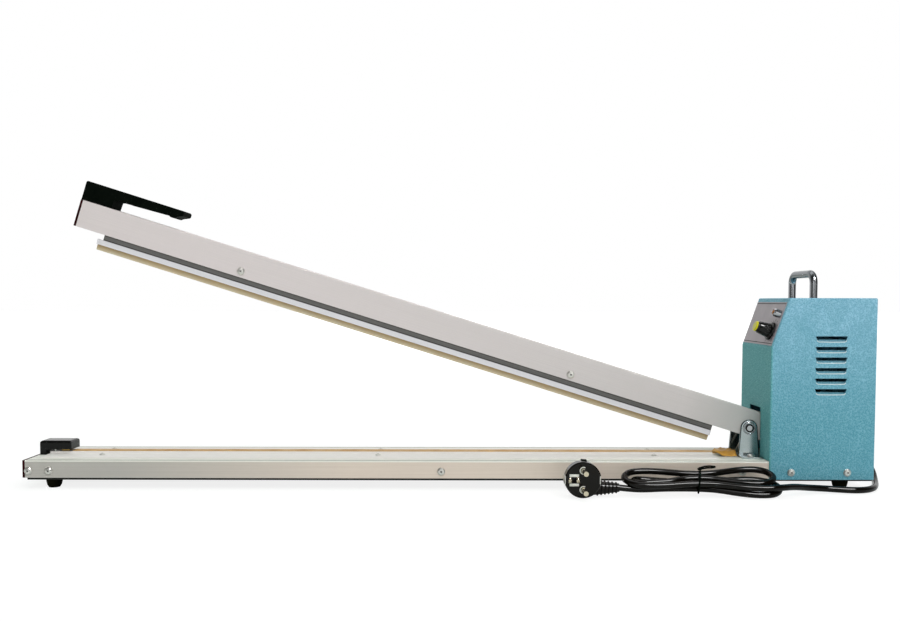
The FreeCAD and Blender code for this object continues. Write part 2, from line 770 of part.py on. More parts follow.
def return_spring():
    """A torsion spring round the pin: one leg stands on the base, the other lifts the arm's ceiling."""
    radius = value("spring_radius")
    wire = value("spring_wire") / 2
    swing = math.radians(value("open_angle"))
    ceiling = value("arm_top") - value("arm_wall") - wire
    reach = value("spring_arm_x")
    ends = [(-value("spring_foot_x"), value("channel_top") + wire - value("pivot_z")),
            (ceiling * math.sin(swing) - reach * math.cos(swing),
             ceiling * math.cos(swing) + reach * math.sin(swing))]
    spans = [math.hypot(*end) for end in ends]
    bearings = [math.atan2(z, x) for x, z in ends]
    leans = [math.asin(radius / span) for span in spans]
    reaches = [math.sqrt(span ** 2 - radius ** 2) for span in spans]
    start = bearings[0] - leans[0] + math.pi / 2
    finish = bearings[1] + leans[1] - math.pi / 2
    sweep = math.degrees((finish - start) % (2 * math.pi))
    coil_length = f"spring_pitch * (spring_coils + {sweep / 360})"
    helix = doc.addObject("Part::Helix", "spring_helix")
    bind(helix, "Pitch", "spring_pitch")
    bind(helix, "Height", coil_length)
    bind(helix, "Radius", "spring_radius")
    section = doc.addObject("Part::Circle", "spring_section")
    bind(section, "Radius", "spring_wire / 2")
    place(section, ("spring_radius", "0", "0"), TOWARDS_FRONT)
    coil = doc.addObject("Part::Sweep", "spring_coil")
    coil.Sections = [section]
    coil.Spine = (helix, [])
    coil.Solid = True
    coil.Frenet = True
    foot = rod("spring_foot", "spring_wire / 2", reaches[0], ("spring_radius", "0", "0"), TOWARDS_FRONT)
    turn = math.radians(sweep)
    tip = rod("spring_tip", "spring_wire / 2", reaches[1], ("0", "0", "0"))
    outward = FreeCAD.Vector(-math.sin(turn), math.cos(turn), 0)
    tip.Placement.Rotation = FreeCAD.Rotation(Z_AXIS, outward)
    tip.setExpression("Placement.Rotation.Angle", None)
    bind(tip, "Placement.Base.x", f"spring_radius * {math.cos(turn)}")
    bind(tip, "Placement.Base.y", f"spring_radius * {math.sin(turn)}")
    bind(tip, "Placement.Base.z", coil_length)
    spring = fuse("return_spring", [coil, foot, tip])
    lying = FreeCAD.Rotation(X_AXIS, 90).multiply(FreeCAD.Rotation(Z_AXIS, math.degrees(start)))
    spring.Placement = FreeCAD.Placement(FreeCAD.Vector(), lying)
    bind(spring, "Placement.Base.x", "pivot_x")
    bind(spring, "Placement.Base.y", f"{coil_length} / 2")
    bind(spring, "Placement.Base.z", "pivot_z")
    keep(spring, "return_spring")


def press_arm():
    """The arm: an upturned channel with its end cap, the press bar under it and the bar's screws."""
    wall_in = "arm_half - arm_wall"
    channel = bar("arm_channel", [
        ("-arm_half", "-pivot_rise"), ("-arm_half", "arm_top"), ("arm_half", "arm_top"),
        ("arm_half", "-pivot_rise"),
        (wall_in, "-pivot_rise"), (wall_in, "arm_top - arm_wall"), (f"-({wall_in})", "arm_top - arm_wall"),
        (f"-({wall_in})", "-pivot_rise")], "-arm_reach", "arm_reach + arm_tail")
    fillet(channel, "arm_wall * 0.6", lambda edge: along(edge,
                                                         X_AXIS) and middle(edge).z > value("arm_top") - 1e-6
           and abs(middle(edge).y) > value("arm_half") - 1e-6)
    drills = [rod("arm_bore", "pin_diameter / 2 + pin_play", "arm_width + 2", ("0", "arm_half + 1", "0"),
                  TOWARDS_FRONT)]
    for x in ARM_SCREWS:
        drills.append(rod("arm_drill", "arm_screw_radius + screw_play", "arm_width + 2",
                          (x, "arm_half + 1", ARM_SCREW_Z), TOWARDS_FRONT))
    for x in HANDLE_SCREWS:
        drills.append(rod("arm_top_drill", "handle_screw_radius + screw_play", "arm_wall + 2",
                          (x, "0", "arm_top - arm_wall - 1")))
    keep(on_arm(cut("arm_channel", channel, drills)), "arm_channel")

    cap = end_plug("arm_cap", "-arm_reach - cap_thickness", "arm_half", "-pivot_rise", "arm_top", "arm_wall",
                   "cap_thickness", "cap_plug_depth", "cap_plug_wall")
    keep(on_arm(cap), "arm_end_cap")

    top = "stem_engagement + stem_bottom + stem_height"
    web = "stem_width / 2"
    flange = "flange_width / 2"
    start = "-bar_start - bar_length"
    hollow = "(stem_width / 2 - bar_wall)"
    floor = "flange_bottom + bar_wall"
    press = bar("seal_bar", [
        (f"-{web}", top), (f"-{hollow}", top), (f"-{hollow}", floor), (hollow, floor), (hollow, top),
        (web, top), (web, "stem_bottom"), (flange, "stem_bottom"), (flange, "flange_bottom"),
        (f"-{flange}", "flange_bottom"), (f"-{flange}", "stem_bottom"), (f"-{web}", "stem_bottom")],
        start, "bar_length")
    notch = sketch_on(press, "YZ_Plane", start)
    rectangle(notch, f"-{web} - 1", f"{web} + 1", "stem_bottom", f"{top} + 1")
    pocket(press, notch, "stem_setback", reverse=True)
    bores = [rod("bar_drill", "arm_screw_radius + screw_play", "arm_width", (x, "arm_half", ARM_SCREW_Z),
                 TOWARDS_FRONT) for x in ARM_SCREWS]
    keep(on_arm(cut("seal_bar", press, bores)), "seal_bar")

    rubber = "rubber_width / 2"
    strip = bar("silicone_strip", [
        (f"-{rubber}", "flange_bottom"), (rubber, "flange_bottom"), (rubber, "rubber_bottom + 1"),
        (f"{rubber} - 1", "rubber_bottom"), (f"1 - {rubber}", "rubber_bottom"),
        (f"-{rubber}", "rubber_bottom + 1")],
        start, "bar_length")
    keep(on_arm(strip), "silicone_strip")

    master = screw("arm_screw", "arm_screw_radius", "screw_head", "screw_head_height", "arm_width + 2")
    places = [((x, "-arm_half", ARM_SCREW_Z), TOWARDS_FRONT) for x in ARM_SCREWS]
    keep(on_arm(copies("arm_screws", master, places)), "arm_screws")


def press_handle():
    """The moulded handle on the arm's end: a block with a hollow tongue that stands over the arm."""
    left = "-arm_reach - cap_thickness"
    tip = f"{left} + handle_length"
    root = f"{left} + handle_block"
    top = "arm_top + handle_height"
    under = "arm_top + tongue_gap"
    slope = f"{under} + tongue_taper"
    nub = f"{tip} - tongue_tip_length - 1"
    handle = side_plate("press_handle", [
        (left, "arm_top"), (left, top), (tip, f"{top} - 0.4"), (tip, f"{top} - tongue_tip"),
        (f"{nub} + nub_length / 2", f"{slope} + nub_notch"),
        (f"{nub} + nub_length / 4", f"{slope} - nub_drop * 0.8"), (nub, f"{slope} - nub_drop"),
        (f"{nub} - nub_length / 4", f"{slope} - nub_drop * 0.8"),
        (f"{nub} - nub_length / 2", f"{slope} + nub_notch"),
        (f"{nub} - nub_length * 0.7", f"{slope} + nub_notch"), (f"{nub} - nub_length * 0.9", slope),
        (f"{root} + notch_length", under), (f"{root} + notch_length * 0.7", f"{under} + notch_rise"),
        (f"{root} + 0.5", f"{under} - notch_rise / 2"), (root, "arm_top")], "handle_width")
    hollow = sketch_on(handle, "XY_Plane", f"{under} - 4")
    half = "(handle_width / 2 - handle_skin)"
    rectangle(hollow, f"{root} + 2", f"{tip} - tongue_tip_length - nub_length", f"-{half}", half)
    pocket(handle, hollow, "handle_height - tongue_gap - handle_skin + 4", reverse=True)
    fillet(handle, "handle_skin * 0.8", lambda edge: along(edge, Y_AXIS)
           and middle(edge).z > value("arm_top") + value("handle_height") - value("tongue_tip") - 1)
    doc.recompute()
    drills = [rod("handle_drill", "handle_screw_radius + screw_play", "handle_screw_depth + 1",
                  (x, "0", "arm_top - 1")) for x in HANDLE_SCREWS]
    keep(on_arm(cut("press_handle", handle, drills)), "press_handle")
    master = screw("handle_screw", "handle_screw_radius", "screw_head * 0.9", "screw_head_height",
                   "arm_wall + handle_screw_depth - 1")
    places = [((x, "0", "arm_top - arm_wall"), DOWNWARDS) for x in HANDLE_SCREWS]
    keep(on_arm(copies("handle_screws", master, places)), "handle_screws")


def housing_cover():
    """The folded cover: slanted front, open bottom, a slot for the arm's tail and louvres on each side."""
    body = side_plate("housing_cover", [
        ("housing_front", "cover_bottom"), ("housing_front", "knee_z"),
        ("housing_front + slant_run", "housing_top"),
        ("half_length", "housing_top"), ("half_length", "cover_bottom")], "housing_width")
    fillet(body, "bend_radius", lambda edge: middle(edge).z > value("cover_bottom") + 1e-6)
    inner = sketch_on(body, "XZ_Plane")
    outline(inner, [
        ("housing_front + sheet", "cover_bottom - 1"),
        ("housing_front + sheet", "knee_z - sheet * tan(slant_angle / 2)"),
        ("housing_front + slant_run + sheet * (1 - sin(slant_angle)) / cos(slant_angle)",
         "housing_top - sheet"),
        ("half_length - sheet", "housing_top - sheet"), ("half_length - sheet", "cover_bottom - 1")])
    pocket(body, inner, "housing_width - 2 * sheet", symmetric=True)
    mouth = sketch_on(body, "YZ_Plane", "housing_front - 1")
    side = "slot_width / 2"
    door = "half_width - sheet"
    rest = "channel_top + cover_fit"
    outline(mouth, [(f"-({door})", "cover_bottom - 1"), (f"-({door})", rest), (f"-{side}", rest),
                    (f"-{side}", "slot_top"), (side, "slot_top"), (side, rest), (door, rest),
                    (door, "cover_bottom - 1")])
    pocket(body, mouth, "sheet + 2", reverse=True)

    top = "housing_top - louvre_drop"
    low = f"{top} - louvre_height"
    lip = f"{low} + louvre_lip"
    first = "half_length - louvre_inset - louvre_width"
    last = "half_length - louvre_inset"
    window = sketch_on(body, "XZ_Plane")
    outline(window, [(first, top), (last, top), (f"{last} - louvre_taper", low),
                     (f"{first} + louvre_taper", low)])
    opening = pocket(body, window, "housing_width + 2", symmetric=True)
    ramp = sketch_on(body, "YZ_Plane", first)
    cheek = sketch_on(body, "YZ_Plane", f"{first} - sheet")
    far_cheek = sketch_on(body, "YZ_Plane", last)
    for sign in ("-1", "1"):
        face = f"{sign} * half_width"
        back = f"{sign} * (half_width - sheet)"
        deep = f"{sign} * (half_width - louvre_depth)"
        outline(ramp, [(face, low), (face, f"{low} - sheet"), (back, f"{low} - sheet"),
                       (f"{deep} - {sign} * sheet", lip), (deep, lip)])
        for sketch in (cheek, far_cheek):
            outline(sketch, [(back, f"{low} - sheet"), (back, top), (f"{deep} - {sign} * sheet", lip)])
    scoops = [pad(body, ramp, "louvre_width"), pad(body, cheek, "sheet"), pad(body, far_cheek, "sheet")]
    doc.recompute()
    rows = body.newObject("PartDesign::LinearPattern", "louvre_rows")
    rows.Originals = [opening] + scoops
    upright = [feature for feature in body.Origin.OriginFeatures if feature.Role == "Z_Axis"]
    rows.Direction = (upright[0], [""])
    rows.Reversed = True
    bind(rows, "Length", "louvre_pitch * (louvre_count - 1)")
    bind(rows, "Occurrences", "louvre_count")
    body.Tip = rows
    doc.recompute()

    drills = [rod("cover_drill", "screw_radius + screw_play", "housing_width + 2",
                  (x, "half_width + 1", "side_screw_z"), TOWARDS_FRONT) for x in COVER_SCREWS]
    drills += [panel_rod("pot_hole", "bush_radius + screw_play", "sheet + 4", "knob_along", "-knob_across",
                         "-sheet - 2"),
               panel_rod("lamp_hole", "lamp_barrel + screw_play", "sheet + 4", "lamp_along", "-lamp_across",
                         "-sheet - 2")]
    for sign in ("-1", "1"):
        drills.append(rod("bail_hole", "bail_diameter / 2 + screw_play", "sheet + 2",
                          ("bail_x", f"{sign} * bail_half_span", "housing_top - sheet - 1")))
    drills.append(rod("gland_hole", "gland_neck + screw_play", "sheet + 2",
                      ("half_length - sheet - 1", "0", "gland_z"), TOWARDS_RIGHT))
    keep(cut("housing_cover", body, drills), "housing_cover")
    master = screw("cover_screw", "screw_radius", "screw_head", "screw_head_height",
                   "sheet + cover_fit + channel_wall")
    places = [((x, "-half_width", "side_screw_z"), TOWARDS_FRONT) for x in COVER_SCREWS]
    places += [((x, "half_width", "side_screw_z"), TOWARDS_BACK) for x in COVER_SCREWS]
    keep(copies("cover_screws", master, places), "cover_screws")


def panel_rod(name, radius, length, up, across, out):
    """A rod that stands on the slanted panel's frame."""
    x = f"housing_front + ({up}) * sin(slant_angle) - ({out}) * cos(slant_angle)"
    z = f"knee_z + ({up}) * cos(slant_angle) + ({out}) * sin(slant_angle)"
    return rod(name, radius, length, (x, across, z), OFF_PANEL)


def control_panel():
    """The thin panel plate on the slanted face, with the lamp, the potentiometer and its board behind it."""
    body = new_body("control_panel")
    sketch = sketch_on(body, "XY_Plane")
    edge = "half_width - panel_margin"
    rectangle(sketch, "panel_bottom + bend_radius", "panel_bottom + bend_radius + panel_length",
              f"-({edge})", edge)
    disc(sketch, "knob_along", "-knob_across", "bush_radius + screw_play")
    disc(sketch, "lamp_along", "-lamp_across", "lamp_barrel + screw_play")
    pad(body, sketch, "panel_thickness")
    keep(on_panel(body), "control_panel")

    pot = turned("potentiometer", [
        ("0", "-sheet - pot_depth"), ("pot_radius", "-sheet - pot_depth"), ("pot_radius", "-sheet"),
        ("bush_radius", "-sheet"), ("bush_radius", "panel_thickness"),
        ("shaft_radius + pin_play", "panel_thickness"), ("shaft_radius + pin_play", "-sheet - 2"),
        ("0", "-sheet - 2")])
    keep(at_panel(pot, "knob_along", "-knob_across"), "potentiometer")
    board = new_body("timer_board")
    flat = sketch_on(board, "XY_Plane", "-sheet - pot_depth - board_thickness")
    rectangle(flat, "board_low", "board_low + board_length", "board_side - half_width",
              "board_side + board_width - half_width")
    pad(board, flat, "board_thickness")
    keep(on_panel(board), "timer_board")

    bezel = turned("lamp_bezel", [
        ("0", "-sheet - lamp_depth"), ("lamp_barrel", "-sheet - lamp_depth"),
        ("lamp_barrel", "panel_thickness"),
        ("lamp_radius", "panel_thickness"), ("lamp_radius", "lamp_length - 1.5"),
        ("lamp_radius - 0.8", "lamp_length"),
        ("lens_radius + seat_gap", "lamp_length"), ("lens_radius + seat_gap", "lamp_length - 3"),
        ("0", "lamp_length - 3")])
    keep(at_panel(bezel, "lamp_along", "-lamp_across"), "lamp_bezel")
    lens = turned("lamp_lens", [
        ("0", "lamp_length - 3"), ("lens_radius", "lamp_length - 3"), ("lens_radius", "lamp_length"),
        ("lens_radius * 0.6", "lamp_length + 1"), ("0", "lamp_length + 1.3")])
    keep(at_panel(lens, "lamp_along", "-lamp_across"), "lamp_lens")


def at_panel(thing, up, across):
    """Stand a turned piece on the panel at a place up and across the slope."""
    return place(thing, (f"housing_front + {up} * sin(slant_angle)", across,
                         f"knee_z + {up} * cos(slant_angle)"), OFF_PANEL)


def timer_knob():
    """The knob that turns: the potentiometer's shaft, a fluted body with a skirt, and a coloured cap."""
    low = "panel_thickness + knob_gap"
    shaft = turned("pot_shaft", [
        ("0", "-sheet - 1.5"), ("shaft_radius", "-sheet - 1.5"), ("shaft_radius", "shaft_length"),
        ("0", "shaft_length")])
    keep(at_panel(shaft, "knob_along", "-knob_across"), "pot_shaft")
    top = f"{low} + knob_skirt + knob_length"
    knob = turned("knob_body", [
        ("shaft_radius", low), ("knob_skirt_radius", low), ("knob_skirt_radius", f"{low} + knob_skirt * 0.6"),
        ("knob_skirt_radius - 1.2", f"{low} + knob_skirt"), ("knob_radius", f"{low} + knob_skirt"),
        ("knob_top_radius", top), ("0", top), ("0", "shaft_length"), ("shaft_radius", "shaft_length")])
    doc.recompute()
    groove = sketch_on(knob, "XY_Plane", f"{top} + 1")
    disc(groove, "knob_radius", "0", "flute_radius")
    flute = pocket(knob, groove, "knob_length + 1")
    ring = knob.newObject("PartDesign::PolarPattern", "knob_flutes_ring")
    ring.Originals = [flute]
    spin = [feature for feature in knob.Origin.OriginFeatures if feature.Role == "Z_Axis"]
    ring.Axis = (spin[0], [""])
    ring.Angle = 360
    bind(ring, "Occurrences", "knob_flutes")
    knob.Tip = ring
    keep(at_panel(knob, "knob_along", "-knob_across"), "knob_body")
    cap = turned("knob_cap", [
        ("0", top), ("cap_radius", top), ("cap_radius", f"{top} + cap_height - 0.8"),
        ("cap_radius - 0.8", f"{top} + cap_height"), ("0", f"{top} + cap_height")])
    keep(at_panel(cap, "knob_along", "-knob_across"), "knob_cap")


def carry_handle():
    """The bent rod on the housing's top, with a nut on each threaded end inside."""
    body = new_body("carry_handle")
    spine = sketch_on(body, "YZ_Plane")
    rise = value("housing_top") + value("bail_rise") - value("bail_diameter") / 2
    foot = value("housing_top") - value("sheet") - value("bail_tail")
    reach = value("bail_half_span")
    bend = value("bail_bend")
    slope = bend * math.sqrt(0.5)
    stations = [(-reach, foot), (-reach, rise - bend), (-reach + bend, rise), (reach - bend, rise),
                (reach, rise - bend), (reach, foot)]
    points = [FreeCAD.Vector(y, z, 0) for y, z in stations]
    corners = [FreeCAD.Vector(-reach + bend - slope, rise - bend + slope, 0),
               FreeCAD.Vector(reach - bend + slope, rise - bend + slope, 0)]
    spine.addGeometry(Part.LineSegment(points[0], points[1]))
    spine.addGeometry(Part.Arc(points[1], corners[0], points[2]))
    spine.addGeometry(Part.LineSegment(points[2], points[3]))
    spine.addGeometry(Part.Arc(points[3], corners[1], points[4]))
    spine.addGeometry(Part.LineSegment(points[4], points[5]))
    section = sketch_on(body, "XY_Plane", "housing_top - sheet - bail_tail")
    disc(section, "0", "-bail_half_span", "bail_diameter / 2")
    pipe = body.newObject("PartDesign::AdditivePipe", "bail_pipe")
    pipe.Profile = section
    pipe.Spine = (spine, ["Edge1", "Edge2", "Edge3", "Edge4", "Edge5"])
    keep(place(body, ("bail_x", "0", "0")), "carry_handle")
    nuts = []
    for sign in ("-1", "1"):
        hexagon = doc.addObject("Part::Prism", "bail_nut")
        hexagon.Polygon = 6
        bind(hexagon, "Circumradius", "nut_radius")
        bind(hexagon, "Height", "nut_height")
        place(hexagon, ("bail_x", f"{sign} * bail_half_span", "housing_top - sheet - nut_height"))
        bore = rod("nut_bore", "bail_diameter / 2 + seat_gap", "nut_height + 2",
                   ("bail_x", f"{sign} * bail_half_span", "housing_top - sheet - nut_height - 1"))
        nuts.append(cut("bail_nut", hexagon, [bore]))
    keep(gather("handle_nuts", nuts), "handle_nuts")


def transformer():
    """A laminated core with two windows, the coil round its middle leg, and four bolts that hold it."""
    core = block("core_block", "core_left", "-core_stack / 2", "channel_top", "core_length", "core_stack",
                 "core_height")
    middle_x = "core_left + core_length / 2"
    window = "(core_length - core_centre) / 2 - core_leg"
    cutters = []
    for start in ("core_left + core_leg", f"{middle_x} + core_centre / 2"):
        cutters.append(block("core_window", start, "-core_stack / 2 - 1", "channel_top + core_leg", window,
                             "core_stack + 2", "core_height - 2 * core_leg"))
    for x, y in CORE_BOLTS:
        cutters.append(rod("core_drill", "bolt_radius + screw_play", "core_height + 2",
                           (x, y, "channel_top - 1")))
    keep(cut("transformer_core", core, cutters), "transformer_core")
    coil = new_body("transformer_coil")
    ring = sketch_on(coil, "XY_Plane", "channel_top + core_leg")
    outer_x = f"core_centre / 2 + {window} - coil_gap"
    inner_x = "core_centre / 2 + coil_gap"
    outer_y = "core_stack / 2 + coil_bulge"
    inner_y = "core_stack / 2 + coil_gap"
    rectangle(ring, f"{middle_x} - ({outer_x})", f"{middle_x} + {outer_x}", f"-({outer_y})", outer_y)
    rectangle(ring, f"{middle_x} - ({inner_x})", f"{middle_x} + {inner_x}", f"-({inner_y})", inner_y)
    pad(coil, ring, "core_height - 2 * core_leg - 2 * coil_gap")
    fillet(coil, "coil_bulge * 0.5", lambda edge: along(edge, Z_AXIS)
           and abs(middle(edge).y) > value("core_stack") / 2 + value("coil_bulge") - 1e-6)
    keep(coil, "transformer_coil")
    master = screw("core_bolt", "bolt_radius", "bolt_head", "screw_head_height",
                   "core_height + channel_wall + 1")
    keep(copies("transformer_bolts", master, [((x, y, "core_top"), UPRIGHT) for x, y in CORE_BOLTS]),
         "transformer_bolts")


def switch():
    """The microswitch on its bracket, and the lever that the arm's tail lifts as the arm closes."""
    keep(microswitch_case(), "microswitch")
    plate_y = "switch_width / 2"
    body = new_body("switch_bracket")
    upright = sketch_on(body, "XZ_Plane", f"-{plate_y} - bracket_plate")
    rectangle(upright, "core_left + bolt_inset * 2 + 2", "switch_left + switch_length + 2", "core_top",
              "switch_bottom + switch_height")
    pad(body, upright, "bracket_plate")
    foot = sketch_on(body, "XY_Plane", "core_top")
    rectangle(foot, "core_left + bolt_inset * 2 + 2", "switch_left + switch_length + 2", plate_y,
              f"{plate_y} + bracket_foot")
    pad(body, foot, "bracket_plate")
    drills = [rod("switch_drill", "small_screw_radius + screw_play", "bracket_plate + 2",
                  (x, f"{plate_y} - 1", SWITCH_SCREW_Z), TOWARDS_BACK) for x in SWITCH_SCREWS]
    keep(cut("switch_bracket", body, drills), "switch_bracket")
    master = screw("switch_screw", "small_screw_radius", "small_screw_head", "small_screw_head_height",
                   "switch_width + bracket_plate")
    places = [((x, "-switch_width / 2", SWITCH_SCREW_Z), TOWARDS_FRONT) for x in SWITCH_SCREWS]
    keep(copies("switch_screws", master, places), "switch_screws")
    lever = new_body("switch_lever")
    blade = sketch_on(lever, "XZ_Plane")
    half = "lever_thickness / 2"
    rectangle(blade, "-lever_length", "0", f"-{half}", half)
    pad(lever, blade, "lever_width", symmetric=True)
    axle = sketch_on(lever, "XZ_Plane")
    disc(axle, "0", "0", "lever_pin")
    pad(lever, axle, "switch_width", symmetric=True)
    keep(place(lever, ("lever_x", "0", "lever_z"), (Y_AXIS, "-lever_angle * 1 deg")), "switch_lever")


def microswitch_case():
    """The switch's case, with two lugs below it that carry the lever's pin."""
    case = block("switch_case", "switch_left", "-switch_width / 2", "switch_bottom", "switch_length",
                 "switch_width",
                 "switch_height")
    lugs = [block("switch_lug", "lever_x - lug_width / 2", low, "lever_z - lug_width / 4", "lug_width",
                  "lug_thickness",
                  "switch_bottom - lever_z + lug_width / 4 + 1")
            for low in ("-switch_width / 2", "switch_width / 2 - lug_thickness")]
    drills = [rod("case_drill", "small_screw_radius + screw_play", "switch_width + 2",
                  (x, "-switch_width / 2 - 1", SWITCH_SCREW_Z), TOWARDS_BACK) for x in SWITCH_SCREWS]
    drills.append(rod("lug_drill", "lever_pin + pin_play", "switch_width + 2",
                      ("lever_x", "-switch_width / 2 - 1", "lever_z"), TOWARDS_BACK))
    return cut("switch_case", fuse("switch_case", [case] + lugs), drills)


def cord_gland():
    """The strain relief in the rear wall: a neck through the hole, a flange and a tapered boot."""
    gland = turned("cord_gland", [
        ("cord_diameter / 2 + seat_gap", "-sheet - gland_inner"), ("gland_neck", "-sheet - gland_inner"),
        ("gland_neck", "0"), ("gland_radius", "0"), ("gland_radius", "2.5"),
        ("gland_radius - 0.8", "3.2"), ("gland_tip_radius", "gland_length"),
        ("cord_diameter / 2 + seat_gap", "gland_length")])
    keep(place(gland, ("half_length", "0", "gland_z"), TOWARDS_RIGHT), "cord_gland")


def cord_route():
    """Points of the lead from the boot's tip round the housing's corner to the hank, in millimetres."""
    tip = value("half_length") + value("gland_length")
    exit_height = value("gland_z")
    floor = value("cord_diameter") / 2 + 0.05
    return [
        (tip - 5.0, 0.0, exit_height), (tip + 3.1, 0.0, exit_height), (tip + 7.6, -3.4, exit_height - 3.5),
        (tip + 8.0, -9.5, exit_height - 8.5), (tip + 5.6, -18.5, exit_height - 13.2),
        (tip + 1.8, -29.0, floor + 1.1), (tip - 3.2, -40.0, floor), (tip - 10.2, -51.5, floor),
        (tip - 20.0, -61.0, floor),
        (tip - 32.5, -67.2, floor + 0.3), (tip - 47.0, -70.6, floor + 1.0), (tip - 64.0, -73.0, floor + 2.2),
        (tip - 83.0, -76.5, floor + 3.8), (tip - 101.0, -81.5, floor + 5.4),
        (tip - 116.0, -86.5, floor + 6.2)]


def tube_along(route, radius):
    """A round tube on straight runs joined by the largest tangent arcs that the runs allow."""
    points = [FreeCAD.Vector(*point) for point in route]
    edges = []
    radii = []
    at = points[0]
    for before, corner, after in zip(points, points[1:], points[2:]):
        arriving = (corner - before).normalize()
        leaving = (after - corner).normalize()
        turn = arriving.getAngle(leaving)
        trim = 0.45 * min((corner - before).Length, (after - corner).Length)
        bend = trim / math.tan(turn / 2)
        radii.append(bend)
        enter = corner - arriving * trim
        leave = corner + leaving * trim
        inward = (leaving - arriving).normalize()
        crown = corner + inward * (bend / math.cos(turn / 2) - bend)
        edges.append(Part.LineSegment(at, enter).toShape())
        edges.append(Part.Arc(enter, crown, leave).toShape())
        at = leave
    edges.append(Part.LineSegment(at, points[-1]).toShape())
    path = Part.Wire(edges)
    start = Part.Wire([Part.Circle(points[0], points[1] - points[0], radius).toShape()])
    tube = path.makePipeShell([start], True, True)
    expected = math.pi * radius ** 2 * path.Length
    print("cord radii", [round(bend, 1) for bend in radii], "length", round(path.Length, 1),
          "volume ratio", round(tube.Volume / expected, 4))
    return tube


def power_cord():
    """The lead's loose stretch, its hank with a tie round the waist, and its plug."""
    cord = doc.addObject("Part::Feature", "power_cord_tube")
    cord.Shape = tube_along(cord_route(), value("cord_diameter") / 2)
    keep(cord, "power_cord")

    lean = (X_AXIS, "hank_lean * 1 deg")
    seat = ("hank_centre_x", "hank_y", "hank_lift")
    hank = new_body("cord_hank")
    flat = sketch_on(hank, "XY_Plane", "-hank_thickness / 2")
    end = "hank_length / 2"
    shoulder = "hank_length * 0.36"
    full = "hank_width / 2"
    narrow = "hank_left_width / 2"
    waist = "hank_waist / 2"
    front = [(f"-{end}", f"-{narrow} * 0.55"), (f"-{shoulder}", f"-{narrow}"),
             ("-hank_length * 0.1", f"-{waist}"),
             ("hank_length * 0.1", f"-{waist}"), (shoulder, f"-{full}"), (end, f"-{full} * 0.45")]
    outline(flat, front + [(x, f"-({y})") for x, y in reversed(front)])
    pad(hank, flat, "hank_thickness")
    keep(place(hank, seat, lean), "cord_hank")

    tie = new_body("cord_tie")
    loop = sketch_on(tie, "YZ_Plane", "-tie_width / 2")
    inner_y = "hank_waist / 2 + 0.3"
    inner_z = "hank_thickness / 2 + 0.3"
    rectangle(loop, f"-({inner_y} + tie_thickness)", f"{inner_y} + tie_thickness",
              f"-({inner_z} + tie_thickness)", f"{inner_z} + tie_thickness")
    rectangle(loop, f"-({inner_y})", inner_y, f"-({inner_z})", inner_z)
    pad(tie, loop, "tie_width")
    keep(place(tie, seat, lean), "cord_tie")


def plug():
    """The angled mains plug: a round face with two pins and earth contacts, and a relief for the cord."""
    shell = turned("plug_shell", [
        ("0", "-plug_depth"), ("plug_radius * 0.62", "-plug_depth"),
        ("plug_radius * 0.9", "-plug_depth * 0.72"),
        ("plug_radius", "-plug_depth * 0.5"), ("plug_radius", "-1"), ("plug_radius - 1", "0"), ("0", "0")])
    seat = ("plug_x", "plug_y - plug_depth", "plug_z")
    place(shell, seat, TOWARDS_FRONT)
    relief = doc.addObject("Part::Cone", "plug_relief")
    bind(relief, "Radius1", "plug_relief_radius * 1.25")
    bind(relief, "Radius2", "cord_diameter / 2 + 1")
    bind(relief, "Height", "plug_relief_length")
    place(relief, ("plug_relief_x", "plug_y - plug_depth / 2", "plug_z - plug_relief_drop"), TOWARDS_RIGHT)
    body = fuse("plug_body", [shell, relief])
    pins = []
    holes = []
    for sign in ("-1", "1"):
        at = ("plug_x", "plug_y - plug_depth + 4", f"plug_z + {sign} * pin_spacing / 2")
        pins.append(rod("plug_pin", "plug_pin_radius", "plug_pin_length + 4", at, TOWARDS_FRONT))
        holes.append(rod("plug_pin_hole", "plug_pin_radius + seat_gap", "8", at, TOWARDS_FRONT))
        holes.append(block("contact_slot", f"plug_x + {sign} * (plug_radius - contact_thickness) - 1",
                           "plug_y - plug_depth - 1", "plug_z - contact_width / 2", "2", "13",
                           "contact_width"))
    holes.append(rod("earth_hole", "earth_radius", "8",
                     ("plug_x - plug_radius / 2", "plug_y - plug_depth + 6", "plug_z"),
                     TOWARDS_FRONT))
    keep(cut("plug_body", body, holes), "plug_body")
    keep(gather("plug_pins", pins), "plug_pins")
    contacts = []
    for sign in ("-1", "1"):
        side = f"plug_x + {sign} * (plug_radius - contact_thickness) - 1"
        contacts.append(block("contact", f"{side} + seat_gap",
                              "plug_y - plug_depth + seat_gap", "plug_z - contact_width / 2 + seat_gap",
                              "contact_thickness", "12 - 2 * seat_gap", "contact_width - 2 * seat_gap"))
    keep(gather("plug_contacts", contacts), "plug_contacts")


# Places that more than one piece uses
SIDE_SCREWS = ["channel_left + side_screw_left", "channel_left + side_screw_second",
               "channel_left + side_screw_middle", "housing_front - side_screw_right"]
COVER_SCREWS = ["housing_front + cover_screw_front", "half_length - cover_screw_back"]
CLAMP_Y = "(strip_inner + clamp_screw_across)"
CLAMP_ENDS = ["strip_left + clamp_screw_left", "strip_right - clamp_screw_right"]
CLAMP_SCREWS = [CLAMP_ENDS[0], f"({CLAMP_ENDS[0]} + {CLAMP_ENDS[1]}) / 2", CLAMP_ENDS[1]]
BRACKET_Y = "(ear_outer + ear_foot_reach / 2)"
ARM_SCREWS = ["-arm_screw_near", "-arm_screw_far"]
ARM_SCREW_Z = "arm_screw_rise - pivot_rise"
HANDLE_SCREWS = ["-arm_reach + handle_block * 0.38", "-arm_reach + handle_block * 0.72"]
FOOT_Y = "(base_half - foot_inset)"
